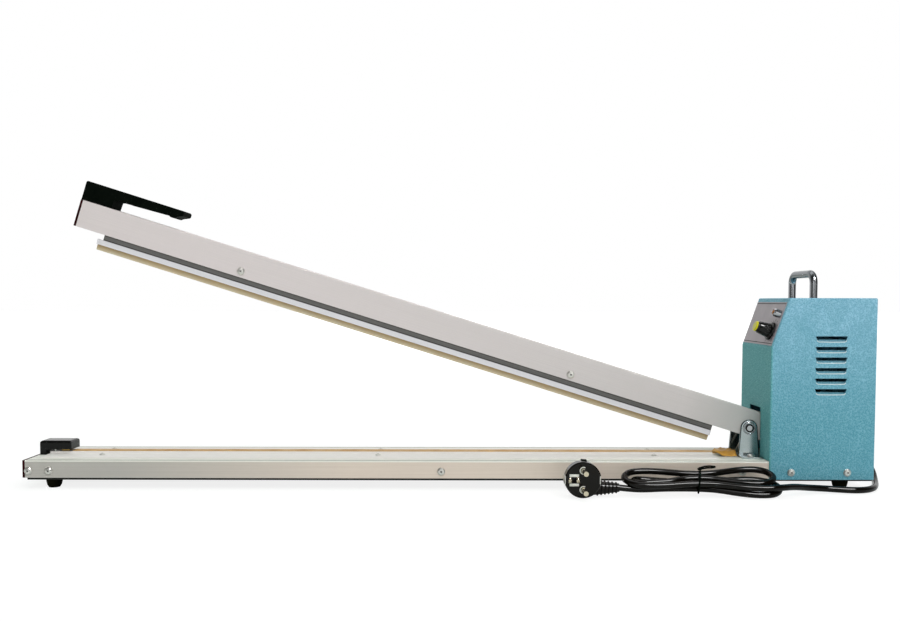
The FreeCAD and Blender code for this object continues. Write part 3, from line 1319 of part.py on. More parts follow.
FEET = {
    "foot_front_left": ("foot_left_inset - half_length", f"-{FOOT_Y}"),
    "foot_rear_left": ("foot_left_inset - half_length", FOOT_Y),
    "foot_front_right": ("half_length - foot_right_inset", f"-{FOOT_Y}"),
    "foot_rear_right": ("half_length - foot_right_inset", FOOT_Y),
}
CORE_BOLTS = [(f"core_left + {x}", f"{y} * (core_stack / 2 - bolt_inset)")
              for x in ("bolt_inset", "core_length - bolt_inset") for y in ("-1", "1")]
SWITCH_SCREWS = ["core_left + bolt_inset * 2 + 5", "switch_left + switch_length - 4"]
SWITCH_SCREW_Z = "switch_bottom + switch_height * 0.5"
TOP_DRILLS = [(x, f"{side} * {CLAMP_Y}", "small_screw_radius") for x in CLAMP_SCREWS for side in ("-1", "1")]
TOP_DRILLS += [("pivot_x", f"{side} * {BRACKET_Y}", "screw_radius") for side in ("-1", "1")]
TOP_DRILLS += [(x, y, "bolt_radius") for x, y in CORE_BOLTS]

base_channel()
base_bottom_plate()
base_end_cap()
feet()
heater()
clamp_strips()
terminals()
hinge()
press_arm()
press_handle()
housing_cover()
control_panel()
timer_knob()
carry_handle()
transformer()
switch()
cord_gland()
power_cord()
plug()
side_screw = screw("side_screw", "screw_radius", "screw_head", "screw_head_height", "channel_wall + 1")
keep(copies("base_side_screws", side_screw,
            [((x, "-base_half", "side_screw_z"), TOWARDS_FRONT) for x in SIDE_SCREWS]
            + [((x, "base_half", "side_screw_z"), TOWARDS_BACK) for x in SIDE_SCREWS]), "base_side_screws")

doc.recompute()
failed = [thing.Label for thing in doc.Objects if {"Invalid", "Error"} & set(thing.State)]
failed += [thing.Label for thing in subparts if thing.Shape.isNull() or not thing.Shape.isValid()]
if failed:
    raise RuntimeError("failed: " + ", ".join(failed))
os.makedirs("parts", exist_ok=True)
for thing in subparts:
    thing.Shape.exportStep(f"parts/{thing.Label}.step")
print(len(subparts), "sub-parts")
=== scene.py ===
"""Looks of the impulse heat sealer.

Materials for the CAD nodes, the mains lead and its tie, the cloth's loose end, the spring, small pressed and
printed details, and the floor, light and camera.
"""

import bpy
import bmesh
import json
import math
from mathutils import Matrix, Vector


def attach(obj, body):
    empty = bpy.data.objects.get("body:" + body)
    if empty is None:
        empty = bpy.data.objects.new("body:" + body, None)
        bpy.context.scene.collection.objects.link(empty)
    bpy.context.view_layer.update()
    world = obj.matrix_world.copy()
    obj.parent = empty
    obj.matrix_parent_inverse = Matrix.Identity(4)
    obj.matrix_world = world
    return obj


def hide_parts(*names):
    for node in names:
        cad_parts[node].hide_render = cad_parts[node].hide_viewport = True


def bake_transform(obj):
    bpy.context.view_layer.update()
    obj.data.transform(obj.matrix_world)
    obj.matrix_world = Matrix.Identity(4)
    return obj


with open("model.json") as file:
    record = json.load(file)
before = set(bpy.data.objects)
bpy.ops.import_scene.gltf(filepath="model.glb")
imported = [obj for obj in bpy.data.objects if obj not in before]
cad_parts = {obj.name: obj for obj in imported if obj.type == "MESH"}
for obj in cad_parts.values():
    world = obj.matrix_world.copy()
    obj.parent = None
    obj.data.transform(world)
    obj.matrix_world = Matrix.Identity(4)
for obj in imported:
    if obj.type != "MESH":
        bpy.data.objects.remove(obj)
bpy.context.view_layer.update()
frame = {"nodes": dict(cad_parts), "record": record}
nodes = frame["nodes"]
MM = 0.001

# Shared places, in millimetres of the CAD frame
PIVOT = Vector((318.5, 0.0, 60.2))
OPEN_ANGLE = math.radians(17.3)
SLANT = math.atan2(18.0, 51.3)
KNEE = Vector((330.0, 0.0, 146.2))
HANK_CENTRE = Vector((253.0, -70.8, 13.6))
HANK_LEAN = math.radians(21.0)
CORD_DIAMETER = 6.5
CLOTH_TOP = 33.3
CHANNEL_TOP = 29.4

# Directions of the object, the open arm, the slanted panel and the leaning hank
RIGHT = Vector((1.0, 0.0, 0.0))
BACK = Vector((0.0, 1.0, 0.0))
UP = Vector((0.0, 0.0, 1.0))
SIDES = (-1.0, 1.0)
ARM_UP = Vector((math.sin(OPEN_ANGLE), 0.0, math.cos(OPEN_ANGLE)))
ARM_ALONG = Vector((math.cos(OPEN_ANGLE), 0.0, -math.sin(OPEN_ANGLE)))
PANEL_UP = Vector((math.sin(SLANT), 0.0, math.cos(SLANT)))
PANEL_OUT = Vector((-math.cos(SLANT), 0.0, math.sin(SLANT)))
HANK_ACROSS = Vector((0.0, math.cos(HANK_LEAN), math.sin(HANK_LEAN)))
HANK_OUT = Vector((0.0, -math.sin(HANK_LEAN), math.cos(HANK_LEAN)))


def arm_point(along, across, above):
    """A point of the open arm: along it from the pivot, across it, and above it."""
    turn = Matrix.Rotation(OPEN_ANGLE, 3, "Y")
    return PIVOT + turn @ Vector((along, across, above))


def panel_point(up, across, out):
    """A point of the slanted panel: up the slope from the knee, across, and out of the face."""
    return KNEE + PANEL_UP * up + BACK * across + PANEL_OUT * out


def hank_point(along, across, out):
    """A point of the hank: along it, across its leaning plane, and out of that plane."""
    return HANK_CENTRE + RIGHT * along + HANK_ACROSS * across + HANK_OUT * out


# Materials
NOISE_MIDDLE = (0.3, 0.7)
MIX_FACTOR = 0
MIX_FIRST = 6
MIX_SECOND = 7
MIX_COLOUR = 2


def srgb(text):
    """A linear colour from a six-digit screen colour."""
    parts = [int(text[k:k + 2], 16) / 255 for k in (0, 2, 4)]
    return tuple(p / 12.92 if p <= 0.04045 else ((p + 0.055) / 1.055) ** 2.4 for p in parts)


class Shader:
    """A Principled material with small helpers for procedural detail."""

    def __init__(self, name, colour, roughness, metallic=0.0):
        self.material = bpy.data.materials.new(name)
        self.material.use_nodes = True
        self.tree = self.material.node_tree
        self.main = self.tree.nodes["Principled BSDF"]
        self.set("Base Color", colour)
        self.set("Roughness", roughness)
        self.set("Metallic", metallic)
        self.place = self.add("ShaderNodeTexCoord").outputs["Object"]

    def add(self, kind, **values):
        node = self.tree.nodes.new(kind)
        for key, held in values.items():
            setattr(node, key, held)
        return node

    def link(self, output, target):
        self.tree.links.new(output, target)

    def set(self, name, held):
        if self.main.inputs[name].type == "RGBA":
            held = (*held, 1.0)
        self.main.inputs[name].default_value = held

    def mapped(self, scale, turn):
        """Object coordinates, turned and then stretched."""
        first = self.add("ShaderNodeMapping")
        first.inputs["Rotation"].default_value = turn
        self.link(self.place, first.inputs["Vector"])
        second = self.add("ShaderNodeMapping")
        second.inputs["Scale"].default_value = scale
        self.link(first.outputs["Vector"], second.inputs["Vector"])
        return second.outputs["Vector"]

    def noise(self, scale, detail=3.0, rough=0.55, vector=None):
        node = self.add("ShaderNodeTexNoise")
        node.inputs["Scale"].default_value = scale
        node.inputs["Detail"].default_value = detail
        node.inputs["Roughness"].default_value = rough
        self.link(vector or self.place, node.inputs["Vector"])
        return node.outputs["Fac"]

    def cells(self, scale, smoothness):
        node = self.add("ShaderNodeTexVoronoi", feature="SMOOTH_F1")
        node.inputs["Scale"].default_value = scale
        node.inputs["Smoothness"].default_value = smoothness
        self.link(self.place, node.inputs["Vector"])
        return node.outputs["Distance"]

    def spread(self, value, low, high, out_low, out_high):
        """Map a value from one range to another, clamped."""
        node = self.add("ShaderNodeMapRange")
        for name, held in zip(("From Min", "From Max", "To Min", "To Max"), (low, high, out_low, out_high)):
            node.inputs[name].default_value = held
        self.link(value, node.inputs["Value"])
        return node.outputs["Result"]

    def rise(self, value, low, high, most=1.0):
        """A share that grows from nothing to its most between two values."""
        return self.spread(value, low, high, 0.0, most)

    def fall(self, value, low, high, most=1.0):
        """A share that shrinks from its most to nothing between two values."""
        return self.spread(value, low, high, most, 0.0)

    def product(self, first, second):
        node = self.add("ShaderNodeMath", operation="MULTIPLY")
        self.link(first, node.inputs[0])
        self.link(second, node.inputs[1])
        return node.outputs[0]

    def mix(self, factor, first, second):
        """A colour between two colours or sockets."""
        node = self.add("ShaderNodeMix", data_type="RGBA")
        for index, held in ((MIX_FIRST, first), (MIX_SECOND, second)):
            if isinstance(held, tuple):
                node.inputs[index].default_value = (*held, 1.0)
            else:
                self.link(held, node.inputs[index])
        self.link(factor, node.inputs[MIX_FACTOR])
        return node.outputs[MIX_COLOUR]

    def axis(self, letter):
        node = self.add("ShaderNodeSeparateXYZ")
        self.link(self.place, node.inputs["Vector"])
        return node.outputs[letter]

    def towards(self, direction, origin):
        """Distance in millimetres from an origin along a direction, in the piece's own coordinates."""
        node = self.add("ShaderNodeVectorMath", operation="DOT_PRODUCT")
        self.link(self.place, node.inputs[0])
        node.inputs[1].default_value = direction
        scaled = self.add("ShaderNodeMath", operation="MULTIPLY_ADD")
        self.link(node.outputs["Value"], scaled.inputs[0])
        scaled.inputs[1].default_value = 1.0 / MM
        scaled.inputs[2].default_value = -direction.dot(origin)
        return scaled.outputs[0]

    def colour(self, socket):
        self.link(socket, self.main.inputs["Base Color"])

    def uneven(self, value, least, most, span=NOISE_MIDDLE):
        """Roughness between two values, as a noise runs over its span."""
        self.link(self.spread(value, *span, least, most), self.main.inputs["Roughness"])

    def bump(self, height, strength, distance):
        node = self.add("ShaderNodeBump")
        node.inputs["Strength"].default_value = strength
        node.inputs["Distance"].default_value = distance
        self.link(height, node.inputs["Height"])
        self.link(node.outputs["Normal"], self.main.inputs["Normal"])


def drawn_lines(shader, rough, turn=0.0):
    """Fine lines drawn along X, or along the open arm when turned, with their roughness and relief."""
    stretched = shader.mapped(scale=(6.0, 2600.0, 2600.0), turn=(0.0, turn, 0.0))
    lines = shader.noise(scale=1.0, detail=4.0, rough=0.7, vector=stretched)
    shader.uneven(lines, rough - 0.06, rough + 0.1)
    shader.bump(lines, strength=0.2, distance=0.00002)
    shader.set("Specular IOR Level", 0.15)
    return shader.rise(lines, 0.25, 0.75)


def brushed(name, light, dark, rough, metallic=1.0):
    """Metal with drawn lines and faint clouds."""
    shader = Shader(name, srgb(light), rough, metallic)
    lines = drawn_lines(shader, rough)
    clouds = shader.noise(scale=9.0, detail=2.0, rough=0.5)
    tone = shader.mix(lines, srgb(dark), srgb(light))
    shader.colour(shader.mix(shader.rise(clouds, 0.35, 0.75, most=0.35), tone, srgb(dark)))
    return shader.material


def base_metal():
    """The base's aluminium: greyer at its left end and warmer further right from a painted reflection, with
    a painted highlight along its upper front edge and a painted shadow line on its top face near each long
    edge.
    """
    rough = 0.42
    warm_reflection_span = (-0.34, -0.10)
    edge_highlight_span = (0.0278, 0.0284)
    top_face = (0.02932, 0.02936)
    shadow_line_band = (0.0405, 0.0412)
    shader = Shader("aluminium_brushed", srgb("C8BEB5"), rough, metallic=0.08)
    lines = drawn_lines(shader, rough)
    left = shader.mix(lines, srgb("AFAAA5"), srgb("C3BEBA"))
    middle = shader.mix(lines, srgb("D6C6BA"), srgb("E6D8CD"))
    # Painted reflection: a warm highlight from the left end rightwards.
    tone = shader.mix(shader.rise(shader.axis("X"), *warm_reflection_span), left, middle)
    # Painted highlight: the front face's upper edge, and the top above it, are brightened.
    tone = shader.mix(shader.rise(shader.axis("Z"), *edge_highlight_span), tone, srgb("EDEBE4"))
    # Painted shadow: a dark line on the top face near its front and rear edges.
    across = shader.add("ShaderNodeMath", operation="ABSOLUTE")
    shader.link(shader.axis("Y"), across.inputs[0])
    band = shader.rise(across.outputs[0], *shadow_line_band, most=0.75)
    line = shader.product(shader.rise(shader.axis("Z"), *top_face), band)
    shader.colour(shader.mix(line, tone, srgb("8F8C85")))
    return shader.material


def arm_metal():
    """The arm's aluminium: drawn along its length, greyer towards the hinge."""
    rough = 0.45
    greying = (-620.0, -130.0)
    hinge_end = (-75.0, -25.0)
    shader = Shader("aluminium_arm", srgb("DAD6D3"), rough, metallic=0.06)
    lines = drawn_lines(shader, rough, -OPEN_ANGLE)
    along = shader.towards(ARM_ALONG, PIVOT)
    left = shader.mix(lines, srgb("D7CCCD"), srgb("E3D8D9"))
    right = shader.mix(lines, srgb("CBC3C3"), srgb("D9D1D1"))
    tone = shader.mix(shader.rise(along, *greying), left, right)
    shader.colour(shader.mix(shader.rise(along, *hinge_end), tone, srgb("C2BEBD")))
    return shader.material


def seal_bar_metal():
    """The press bar: a stem darkened by painted shade above a pale flange, with painted shadow lines under
    the arm and above the flange.
    """
    rough = 0.4
    arm_shadow_span = (-10.6, -9.6)
    crease_shade_span = (-14.2, -13.6)
    flange_top = (-15.1, -14.9)
    shade = srgb("3C3A3A")
    shader = Shader("aluminium_stem", srgb("C8C6CA"), rough, metallic=0.06)
    lines = drawn_lines(shader, rough, -OPEN_ANGLE)
    # The stem's grey tones are painted shade: the stem sits recessed in the arm's shadow.
    stem = shader.mix(lines, srgb("767372"), srgb("8D8988"))
    flange = shader.mix(lines, srgb("D9D5DB"), srgb("EDE9EF"))
    height = shader.towards(ARM_UP, PIVOT)
    # Painted shadow below the arm's lower edge, and painted shade in the crease above the flange.
    stem = shader.mix(shader.rise(height, *arm_shadow_span, most=0.7), stem, shade)
    stem = shader.mix(shader.fall(height, *crease_shade_span, most=0.8), stem, shade)
    shader.colour(shader.mix(shader.rise(height, *flange_top), flange, stem))
    return shader.material


def hammertone():
    """Enamel that dried into small dimples, paler towards the top from painted light and greener on the
    hinge side from a painted shade tint.
    """
    top_light_span = (0.07, 0.19)
    hinge_shade_span = (0.3302, 0.3325)
    shader = Shader("teal_hammertone", srgb("5F9CB0"), 0.36)
    dimples = shader.cells(scale=760.0, smoothness=0.6)
    ripple = shader.noise(scale=900.0, detail=2.0)
    blotch = shader.noise(scale=45.0)
    crests = shader.rise(dimples, 0.1, 0.75)
    # Painted light: the tones low down, and the paler, lit tones towards the top.
    low = shader.mix(crests, srgb("4D90A4"), srgb("79B3C5"))
    high = shader.mix(crests, srgb("6CA6C0"), srgb("9CCBE2"))
    shade_green = shader.mix(crests, srgb("4F9CA6"), srgb("7ABEC4"))
    tone = shader.mix(shader.rise(shader.axis("Z"), *top_light_span), low, high)
    tone = shader.mix(shader.rise(blotch, 0.35, 0.7, most=0.3), tone, srgb("5C9AAE"))
    # Painted shade: the hinge-side face takes a greener tone as shade there.
    shader.colour(shader.mix(shader.fall(shader.axis("X"), *hinge_shade_span), tone, shade_green))
    shader.uneven(ripple, 0.32, 0.48)
    shader.set("Specular IOR Level", 0.06)
    shader.bump(dimples, strength=0.55, distance=0.0006)
    return shader.material


def moulded(name, dark, light, rough, grain=1400.0, depth=0.00004, shine=0.5):
    """Moulded plastic with a fine grain and a little dust."""
    dull_shine = 0.2
    shader = Shader(name, srgb(dark), rough)
    fine = shader.noise(scale=grain)
    dust = shader.noise(scale=60.0, detail=4.0)
    shader.colour(shader.mix(shader.rise(dust, 0.4, 0.75), srgb(dark), srgb(light)))
    shader.uneven(fine, rough * 0.8, rough * 1.2)
    shader.set("Specular IOR Level", shine)
    shader.set("IOR", 1.5 if shine > dull_shine else 1.12)
    shader.bump(fine, strength=0.2, distance=depth)
    return shader.material


SMEAR = {"scale": 38.0, "detail": 4.0, "rough": 0.6}
SMEAR_SPAN = (0.35, 0.75)
SMEAR_DULLING = 0.14


def polished(name, colour, rough):
    """Plated metal with faint handling marks."""
    clean = srgb(colour)
    handled = tuple(c * 0.82 for c in clean)
    shader = Shader(name, clean, rough, metallic=1.0)
    smear = shader.noise(**SMEAR)
    shader.uneven(smear, rough, rough + SMEAR_DULLING, SMEAR_SPAN)
    shader.colour(shader.mix(shader.rise(smear, 0.4, 0.8, most=0.4), clean, handled))
    return shader.material


def plated_rod():
    """The carry handle's plating, darker along its top bar as a painted dark reflection."""
    rough = 0.06
    dark_reflection_span = (0.2125, 0.2185)
    shader = Shader("chrome_rod", srgb("ABADB1"), rough, metallic=1.0)
    # Painted reflection: the top bar is darkened as if it mirrored a dark surround.
    shader.colour(shader.mix(shader.rise(shader.axis("Z"), *dark_reflection_span), srgb("ABADB1"), srgb("74787B")))
    shader.uneven(shader.noise(**SMEAR), rough, rough + SMEAR_DULLING, SMEAR_SPAN)
    return shader.material


def knob_cap_plastic():
    """The knob's cap: a yellow top on a black rim."""
    rim_edge = (17.3, 17.5)
    shader = Shader("yellow_cap", srgb("D3C918"), 0.3)
    top = shader.rise(shader.towards(PANEL_OUT, KNEE), *rim_edge)
    yellow = shader.mix(shader.noise(scale=60.0, detail=4.0), srgb("C9BE0A"), srgb("DDD326"))
    shader.colour(shader.mix(top, srgb("0A0A09"), yellow))
    shader.set("Specular IOR Level", 0.3)
    return shader.material


def coated_cloth(name, pale, brown, worn, shine=0.3):
    """Woven glass cloth with a non-stick coat, stained and paler where it is worn."""
    thread_scale = 420.0
    thread_waver = 0.4
    shader = Shader(name, srgb(pale), 0.42)
    threads = []
    for direction in "XY":
        wave = shader.add("ShaderNodeTexWave", bands_direction=direction)
        wave.inputs["Scale"].default_value = thread_scale
        wave.inputs["Distortion"].default_value = thread_waver
        shader.link(shader.place, wave.inputs["Vector"])
        threads.append(wave.outputs["Fac"])
    weave = shader.product(*threads)
    stain = shader.noise(scale=55.0, detail=4.0, rough=0.6)
    wear = shader.noise(scale=4.0, detail=2.0, rough=0.5)
    tone = shader.mix(shader.rise(wear, 0.5, 0.68, most=0.8), srgb(pale), srgb(worn))
    tone = shader.mix(shader.rise(stain, 0.42, 0.72, most=0.6), tone, srgb(brown))
    shader.colour(shader.mix(shader.rise(weave, 0.0, 1.0, most=0.2), tone, srgb(worn)))
    shader.uneven(stain, 0.34, 0.52)
    shader.set("Specular IOR Level", shine)
    shader.bump(weave, strength=0.3, distance=0.00006)
    return shader.material


def soft_strip():
    """Tan silicone, mottled, paler towards the face that presses."""
    darkening = (-25.5, -21.0)
    shader = Shader("tan_silicone", srgb("C2A67C"), 0.5)
    mottle = shader.noise(scale=70.0, detail=4.0)
    height = shader.rise(shader.towards(ARM_UP, PIVOT), *darkening)
    tone = shader.mix(height, srgb("DCCDB0"), srgb("A88A60"))
    shader.colour(shader.mix(shader.rise(mottle, 0.35, 0.7, most=0.4), tone, srgb("C6A878")))
    shader.uneven(mottle, 0.42, 0.6)
    shader.set("Subsurface Weight", 0.1)
    shader.set("Subsurface Radius", (0.004, 0.002, 0.001))
    shader.bump(shader.noise(scale=900.0, detail=2.0), strength=0.12, distance=0.00005)
    return shader.material


def printed_panel():
    """The panel's film: a lilac grey ground with a fine speckle."""
    shader = Shader("panel_film", srgb("90939A"), 0.42)
    speckle = shader.noise(scale=1800.0, detail=2.0)
    shade = shader.noise(scale=30.0, detail=2.0)
    tone = shader.mix(shader.rise(shade, 0.35, 0.7), srgb("A2939B"), srgb("B8A7B0"))
    shader.colour(shader.mix(shader.rise(speckle, 0.45, 0.65, most=0.3), tone, srgb("B0B2BA")))
    shader.uneven(speckle, 0.36, 0.5)
    shader.bump(speckle, strength=0.08, distance=0.00003)
    return shader.material


def amber_plastic():
    """Amber plastic of the lamp, unlit and mottled."""
    shader = Shader("amber_lens", srgb("9A5A22"), 0.16)
    mottle = shader.noise(scale=500.0, detail=2.0)
    shader.colour(shader.mix(shader.rise(mottle, 0.35, 0.65), srgb("7A3F16"), srgb("B87430")))
    shader.set("Transmission Weight", 0.25)
    shader.set("Coat Weight", 0.5)
    shader.bump(mottle, strength=0.1, distance=0.00005)
    return shader.material


LOOKS = {
    "teal_hammertone": hammertone(),
    "aluminium_brushed": base_metal(),
    "aluminium_arm": arm_metal(),
    "aluminium_stem": seal_bar_metal(),
    "chrome_rod": plated_rod(),
    "yellow_cap": knob_cap_plastic(),
    "tan_silicone": soft_strip(),
    "panel_film": printed_panel(),
    "amber_lens": amber_plastic(),
}
BRUSHED = {
    "aluminium_white": {"light": "F9F3F1", "dark": "EEE8E7", "rough": 0.45, "metallic": 0.0},
    "ribbon_alloy": {"light": "A8A29A", "dark": "857E76", "rough": 0.4},
    "core_iron": {"light": "6C6C6E", "dark": "4A4A4C", "rough": 0.5},
    "copper_coil": {"light": "A8623A", "dark": "7E4526", "rough": 0.35},
}
POLISHED = {
    "steel_plain": {"colour": "DBD9D4", "rough": 0.3},
    "chrome_plate": {"colour": "ABADB1", "rough": 0.06},
    # edge_shade: painted dark reflection along the brackets' rounded edges.
    "edge_shade": {"colour": "3E484B", "rough": 0.2},
    "bracket_plate": {"colour": "A9B2B4", "rough": 0.12},
    "brass_plain": {"colour": "C9A55C", "rough": 0.22},
    "nickel_pin": {"colour": "D8CDB6", "rough": 0.15},
}
COARSE = 900.0
SMOOTH = 0.00001
SLEEK = 0.000004
MOULDED = {
    "steel_black": {"dark": "0A0B0A", "light": "151613", "rough": 0.4, "shine": 0.25},
    "black_moulding": {"dark": "080C09", "light": "0F130F", "rough": 0.4, "shine": 0.05},
    "black_gloss": {
        "dark": "020403", "light": "070A08", "rough": 0.13, "grain": COARSE, "depth": SMOOTH, "shine": 0.3},
    "cover_moulding": {
        "dark": "0B0B0B", "light": "141413", "rough": 0.2, "grain": COARSE, "depth": SMOOTH, "shine": 0.21},
    "black_rubber": {
        "dark": "080502", "light": "0C0804", "rough": 0.08, "grain": COARSE, "depth": SLEEK, "shine": 0.21},
    "foot_rubber": {"dark": "0E0E06", "light": "17160C", "rough": 0.55, "grain": COARSE, "shine": 0.1},
    "red_end_cap": {"dark": "260A0C", "light": "3A1216", "rough": 0.5, "shine": 0.2},
    "white_insulation": {"dark": "E4E2DB", "light": "F2F0EA", "rough": 0.6},
    "insulator": {"dark": "4A3220", "light": "60432C", "rough": 0.5},
    "board_green": {"dark": "1E5A30", "light": "2C7040", "rough": 0.4},
    "print_black": {"dark": "141416", "light": "1F1F22", "rough": 0.5, "shine": 0.2},
    # recess_dark: painted shade for the screw recesses and the groove round the pin.
    "recess_dark": {"dark": "1C1B1A", "light": "2B2A28", "rough": 0.5, "shine": 0.2},
    # lip_shine: a pale colour painting the highlight on the louvres' lower lips.
    "lip_shine": {"dark": "D2E4EA", "light": "E6F1F4", "rough": 0.25},
}
CLOTH = {
    "tan_ptfe_cloth": {"pale": "C5954B", "brown": "A87430", "worn": "DDBE94"},
    "amber_cloth": {"pale": "DC9B2E", "brown": "AC6E1E", "worn": "F0CA80", "shine": 0.35},
}
for make, table in ((brushed, BRUSHED), (polished, POLISHED), (moulded, MOULDED), (coated_cloth, CLOTH)):
    for name, values in table.items():
        LOOKS[name] = make(name, **values)

SPECIAL = {
    "arm_channel": "aluminium_arm",
    "seal_bar": "aluminium_stem",
    "hinge_bracket_front": "bracket_plate",
    "hinge_bracket_rear": "bracket_plate",
    "carry_handle": "chrome_rod",
    "terminal_cover": "cover_moulding",
    "foot_front_left": "foot_rubber",
    "foot_front_right": "foot_rubber",
    "foot_rear_left": "foot_rubber",
    "foot_rear_right": "foot_rubber",
    "plug_pins": "nickel_pin",
    "plug_contacts": "steel_plain",
}
for row in frame["record"]["subparts"]:
    look = LOOKS[SPECIAL.get(row["node"], row["material_slot"])]
    for held in nodes[row["node"]].material_slots:
        held.material = look


# Building pieces
def dress(piece, look, smooth=True):
    """Give a new piece its material and its shading."""
    piece.data.materials.clear()
    piece.data.materials.append(LOOKS[look])
    if piece.type == "MESH":
        for face in piece.data.polygons:
            face.use_smooth = smooth


def finish_piece(piece, body, look, smooth=True):
    """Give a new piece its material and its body."""
    dress(piece, look, smooth)
    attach(piece, body)
    return piece


def mesh_piece(name, shape):
    """A mesh object from a bmesh whose points are in millimetres."""
    bmesh.ops.scale(shape, vec=(MM, MM, MM), verts=shape.verts)
    bmesh.ops.recalc_face_normals(shape, faces=shape.faces)
    data = bpy.data.meshes.new(name)
    shape.to_mesh(data)
    shape.free()
    made = bpy.data.objects.new(name, data)
    bpy.context.scene.collection.objects.link(made)
    return made


def add_prism(shape, points, outward):
    """A flat outline with a small thickness along a vector."""
    low = [shape.verts.new(p) for p in points]
    high = [shape.verts.new(p + outward) for p in points]
    count = len(points)
    shape.faces.new(low)
    shape.faces.new(list(reversed(high)))
    for k in range(count):
        shape.faces.new((low[k], low[(k + 1) % count], high[(k + 1) % count], high[k]))


def tube_mesh(shape, path, radius, sides=8):
    """A round tube through points, closed at both ends."""
    rings = []
    side = None
    for k, point in enumerate(path):
        ahead = path[min(k + 1, len(path) - 1)] - path[max(k - 1, 0)]
        ahead.normalize()
        if side is None:
            side = ahead.orthogonal().normalized()
        side = (side - ahead * side.dot(ahead)).normalized()
        other = ahead.cross(side)
        ring = []
        for s in range(sides):
            angle = 2 * math.pi * s / sides
            outward = side * math.cos(angle) + other * math.sin(angle)
            ring.append(shape.verts.new(point + outward * radius))
        rings.append(ring)
    for first, second in zip(rings, rings[1:]):
        for s in range(sides):
            shape.faces.new((first[s], first[(s + 1) % sides], second[(s + 1) % sides], second[s]))
    shape.faces.new(list(reversed(rings[0])))
    shape.faces.new(rings[-1])


def ring_path(centre, first, second, radius, start=0.0, sweep=360.0, count=28):
    """Points of an arc in the plane of two directions."""
    angles = [math.radians(start + sweep * k / count) for k in range(count + 1)]
    return [centre + (first * math.cos(a) + second * math.sin(a)) * radius for a in angles]


# The mains lead: one spline from the boot round the corner, through the hank's turns to the plug
EXIT = Vector((446.0, 0.0, 20.5))
FLOOR_LINE = CORD_DIAMETER / 2 + 0.05
LEAD_ORDER = 3
LEAD_STEPS = 8
LEAD_ROUNDNESS = 5

# Steps from the exit, and then places along from the exit, across, and above the floor line
BESIDE_BOOT = [(0.0, 0.0, 0.0), (3.1, 0.0, 0.0), (7.6, -3.4, -3.5), (8.0, -9.5, -8.5), (5.6, -18.5, -13.2)]
ALONG_FLOOR = [(1.8, -29.0, 1.1), (-3.2, -40.0, 0.0), (-10.2, -51.5, 0.0), (-20.0, -60.0, 0.0),
               (-32.5, -64.0, 0.2), (-47.0, -63.0, 0.6), (-64.0, -61.0, 1.4), (-83.0, -66.0, 3.2),
               (-101.0, -77.0, 6.4), (-116.0, -87.0, 7.4)]

# Places in the hank: along, across, and out of its plane, in a near and a far layer of strands
NEAR = 3.2
FAR = -3.3
FIRST_LOWER = [(60, -18.8, 3.6), (38, -16.0, NEAR), (15, -10.6, NEAR), (0, -9.5, NEAR), (-15, -9.8, NEAR),
               (-38, -13.0, NEAR), (-57, -13.4, NEAR)]
LEFT_FOLD = [(-71, -10.0, NEAR), (-78, 0.8, NEAR), (-71, 11.8, NEAR)]
FIRST_UPPER = [(-57, 14.8, NEAR), (-38, 13.6, NEAR), (-15, 9.4, NEAR), (0, 8.6, NEAR), (15, 10.0, NEAR),
               (38, 16.0, NEAR), (56, 18.6, NEAR)]
RIGHT_FOLD = [(69, 15.0, NEAR), (75, 4.5, NEAR), (69, -6.5, NEAR)]
SECOND_LOWER = [(55, -9.8, NEAR), (38, -7.4, NEAR), (15, -0.6, NEAR), (0, 1.0, NEAR), (-15, 0.0, NEAR),
                (-32, -5.4, NEAR), (-46, -6.4, 3.1)]
INNER_FOLD = [(-56, -7.2, 2.8), (-64, -5.9, 1.7), (-67.5, 0.4, 0.0), (-64, 6.6, -1.7), (-55, 7.8, -2.8)]
SECOND_UPPER = [(-44, 6.6, FAR), (-32, 5.4, FAR), (-15, 4.6, FAR), (0, 4.5, FAR), (15, 5.4, FAR),
                (38, 8.2, FAR), (55, 8.8, FAR)]
LOW_FOLD = [(71, 5.0, FAR), (79, -6.5, FAR), (72, -17.4, -3.6)]
LAST_LOWER = [(57, -20.0, -3.4), (38, -17.4, FAR), (15, -10.0, FAR), (0, -8.2, FAR), (-15, -7.6, FAR),
              (-38, -7.0, -3.8), (-58, -8.6, -4.0), (-71, -9.4, -2.9), (-83, -9.3, -1.5)]


def lead_route():
    """The lead's points: from the boot along the floor, two turns in front, the rest behind, to the plug."""
    route = [EXIT + Vector(step) for step in BESIDE_BOOT]
    route += [Vector((EXIT.x + along, across, FLOOR_LINE + above)) for along, across, above in ALONG_FLOOR]
    turns = FIRST_LOWER + LEFT_FOLD + FIRST_UPPER + RIGHT_FOLD + SECOND_LOWER
    turns += INNER_FOLD + SECOND_UPPER + LOW_FOLD + LAST_LOWER
    return route + [hank_point(*place) for place in turns]


def mains_lead():
    """The lead from the boot to the plug, as one round curve."""
    data = bpy.data.curves.new("mains_lead", "CURVE")
    data.dimensions = "3D"
    spline = data.splines.new("NURBS")
    points = lead_route()
    spline.points.add(len(points) - 1)
    for held, point in zip(spline.points, points):
        held.co = (*(point * MM), 1.0)
    spline.order_u = LEAD_ORDER
    spline.use_endpoint_u = True
    spline.resolution_u = LEAD_STEPS
    data.bevel_depth = CORD_DIAMETER / 2 * MM
    data.bevel_resolution = LEAD_ROUNDNESS
    data.use_fill_caps = True
    made = bpy.data.objects.new("mains_lead", data)
    bpy.context.scene.collection.objects.link(made)
    finish_piece(made, "base", "black_rubber")
    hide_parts("power_cord", "cord_hank")
    return made


lead = mains_lead()

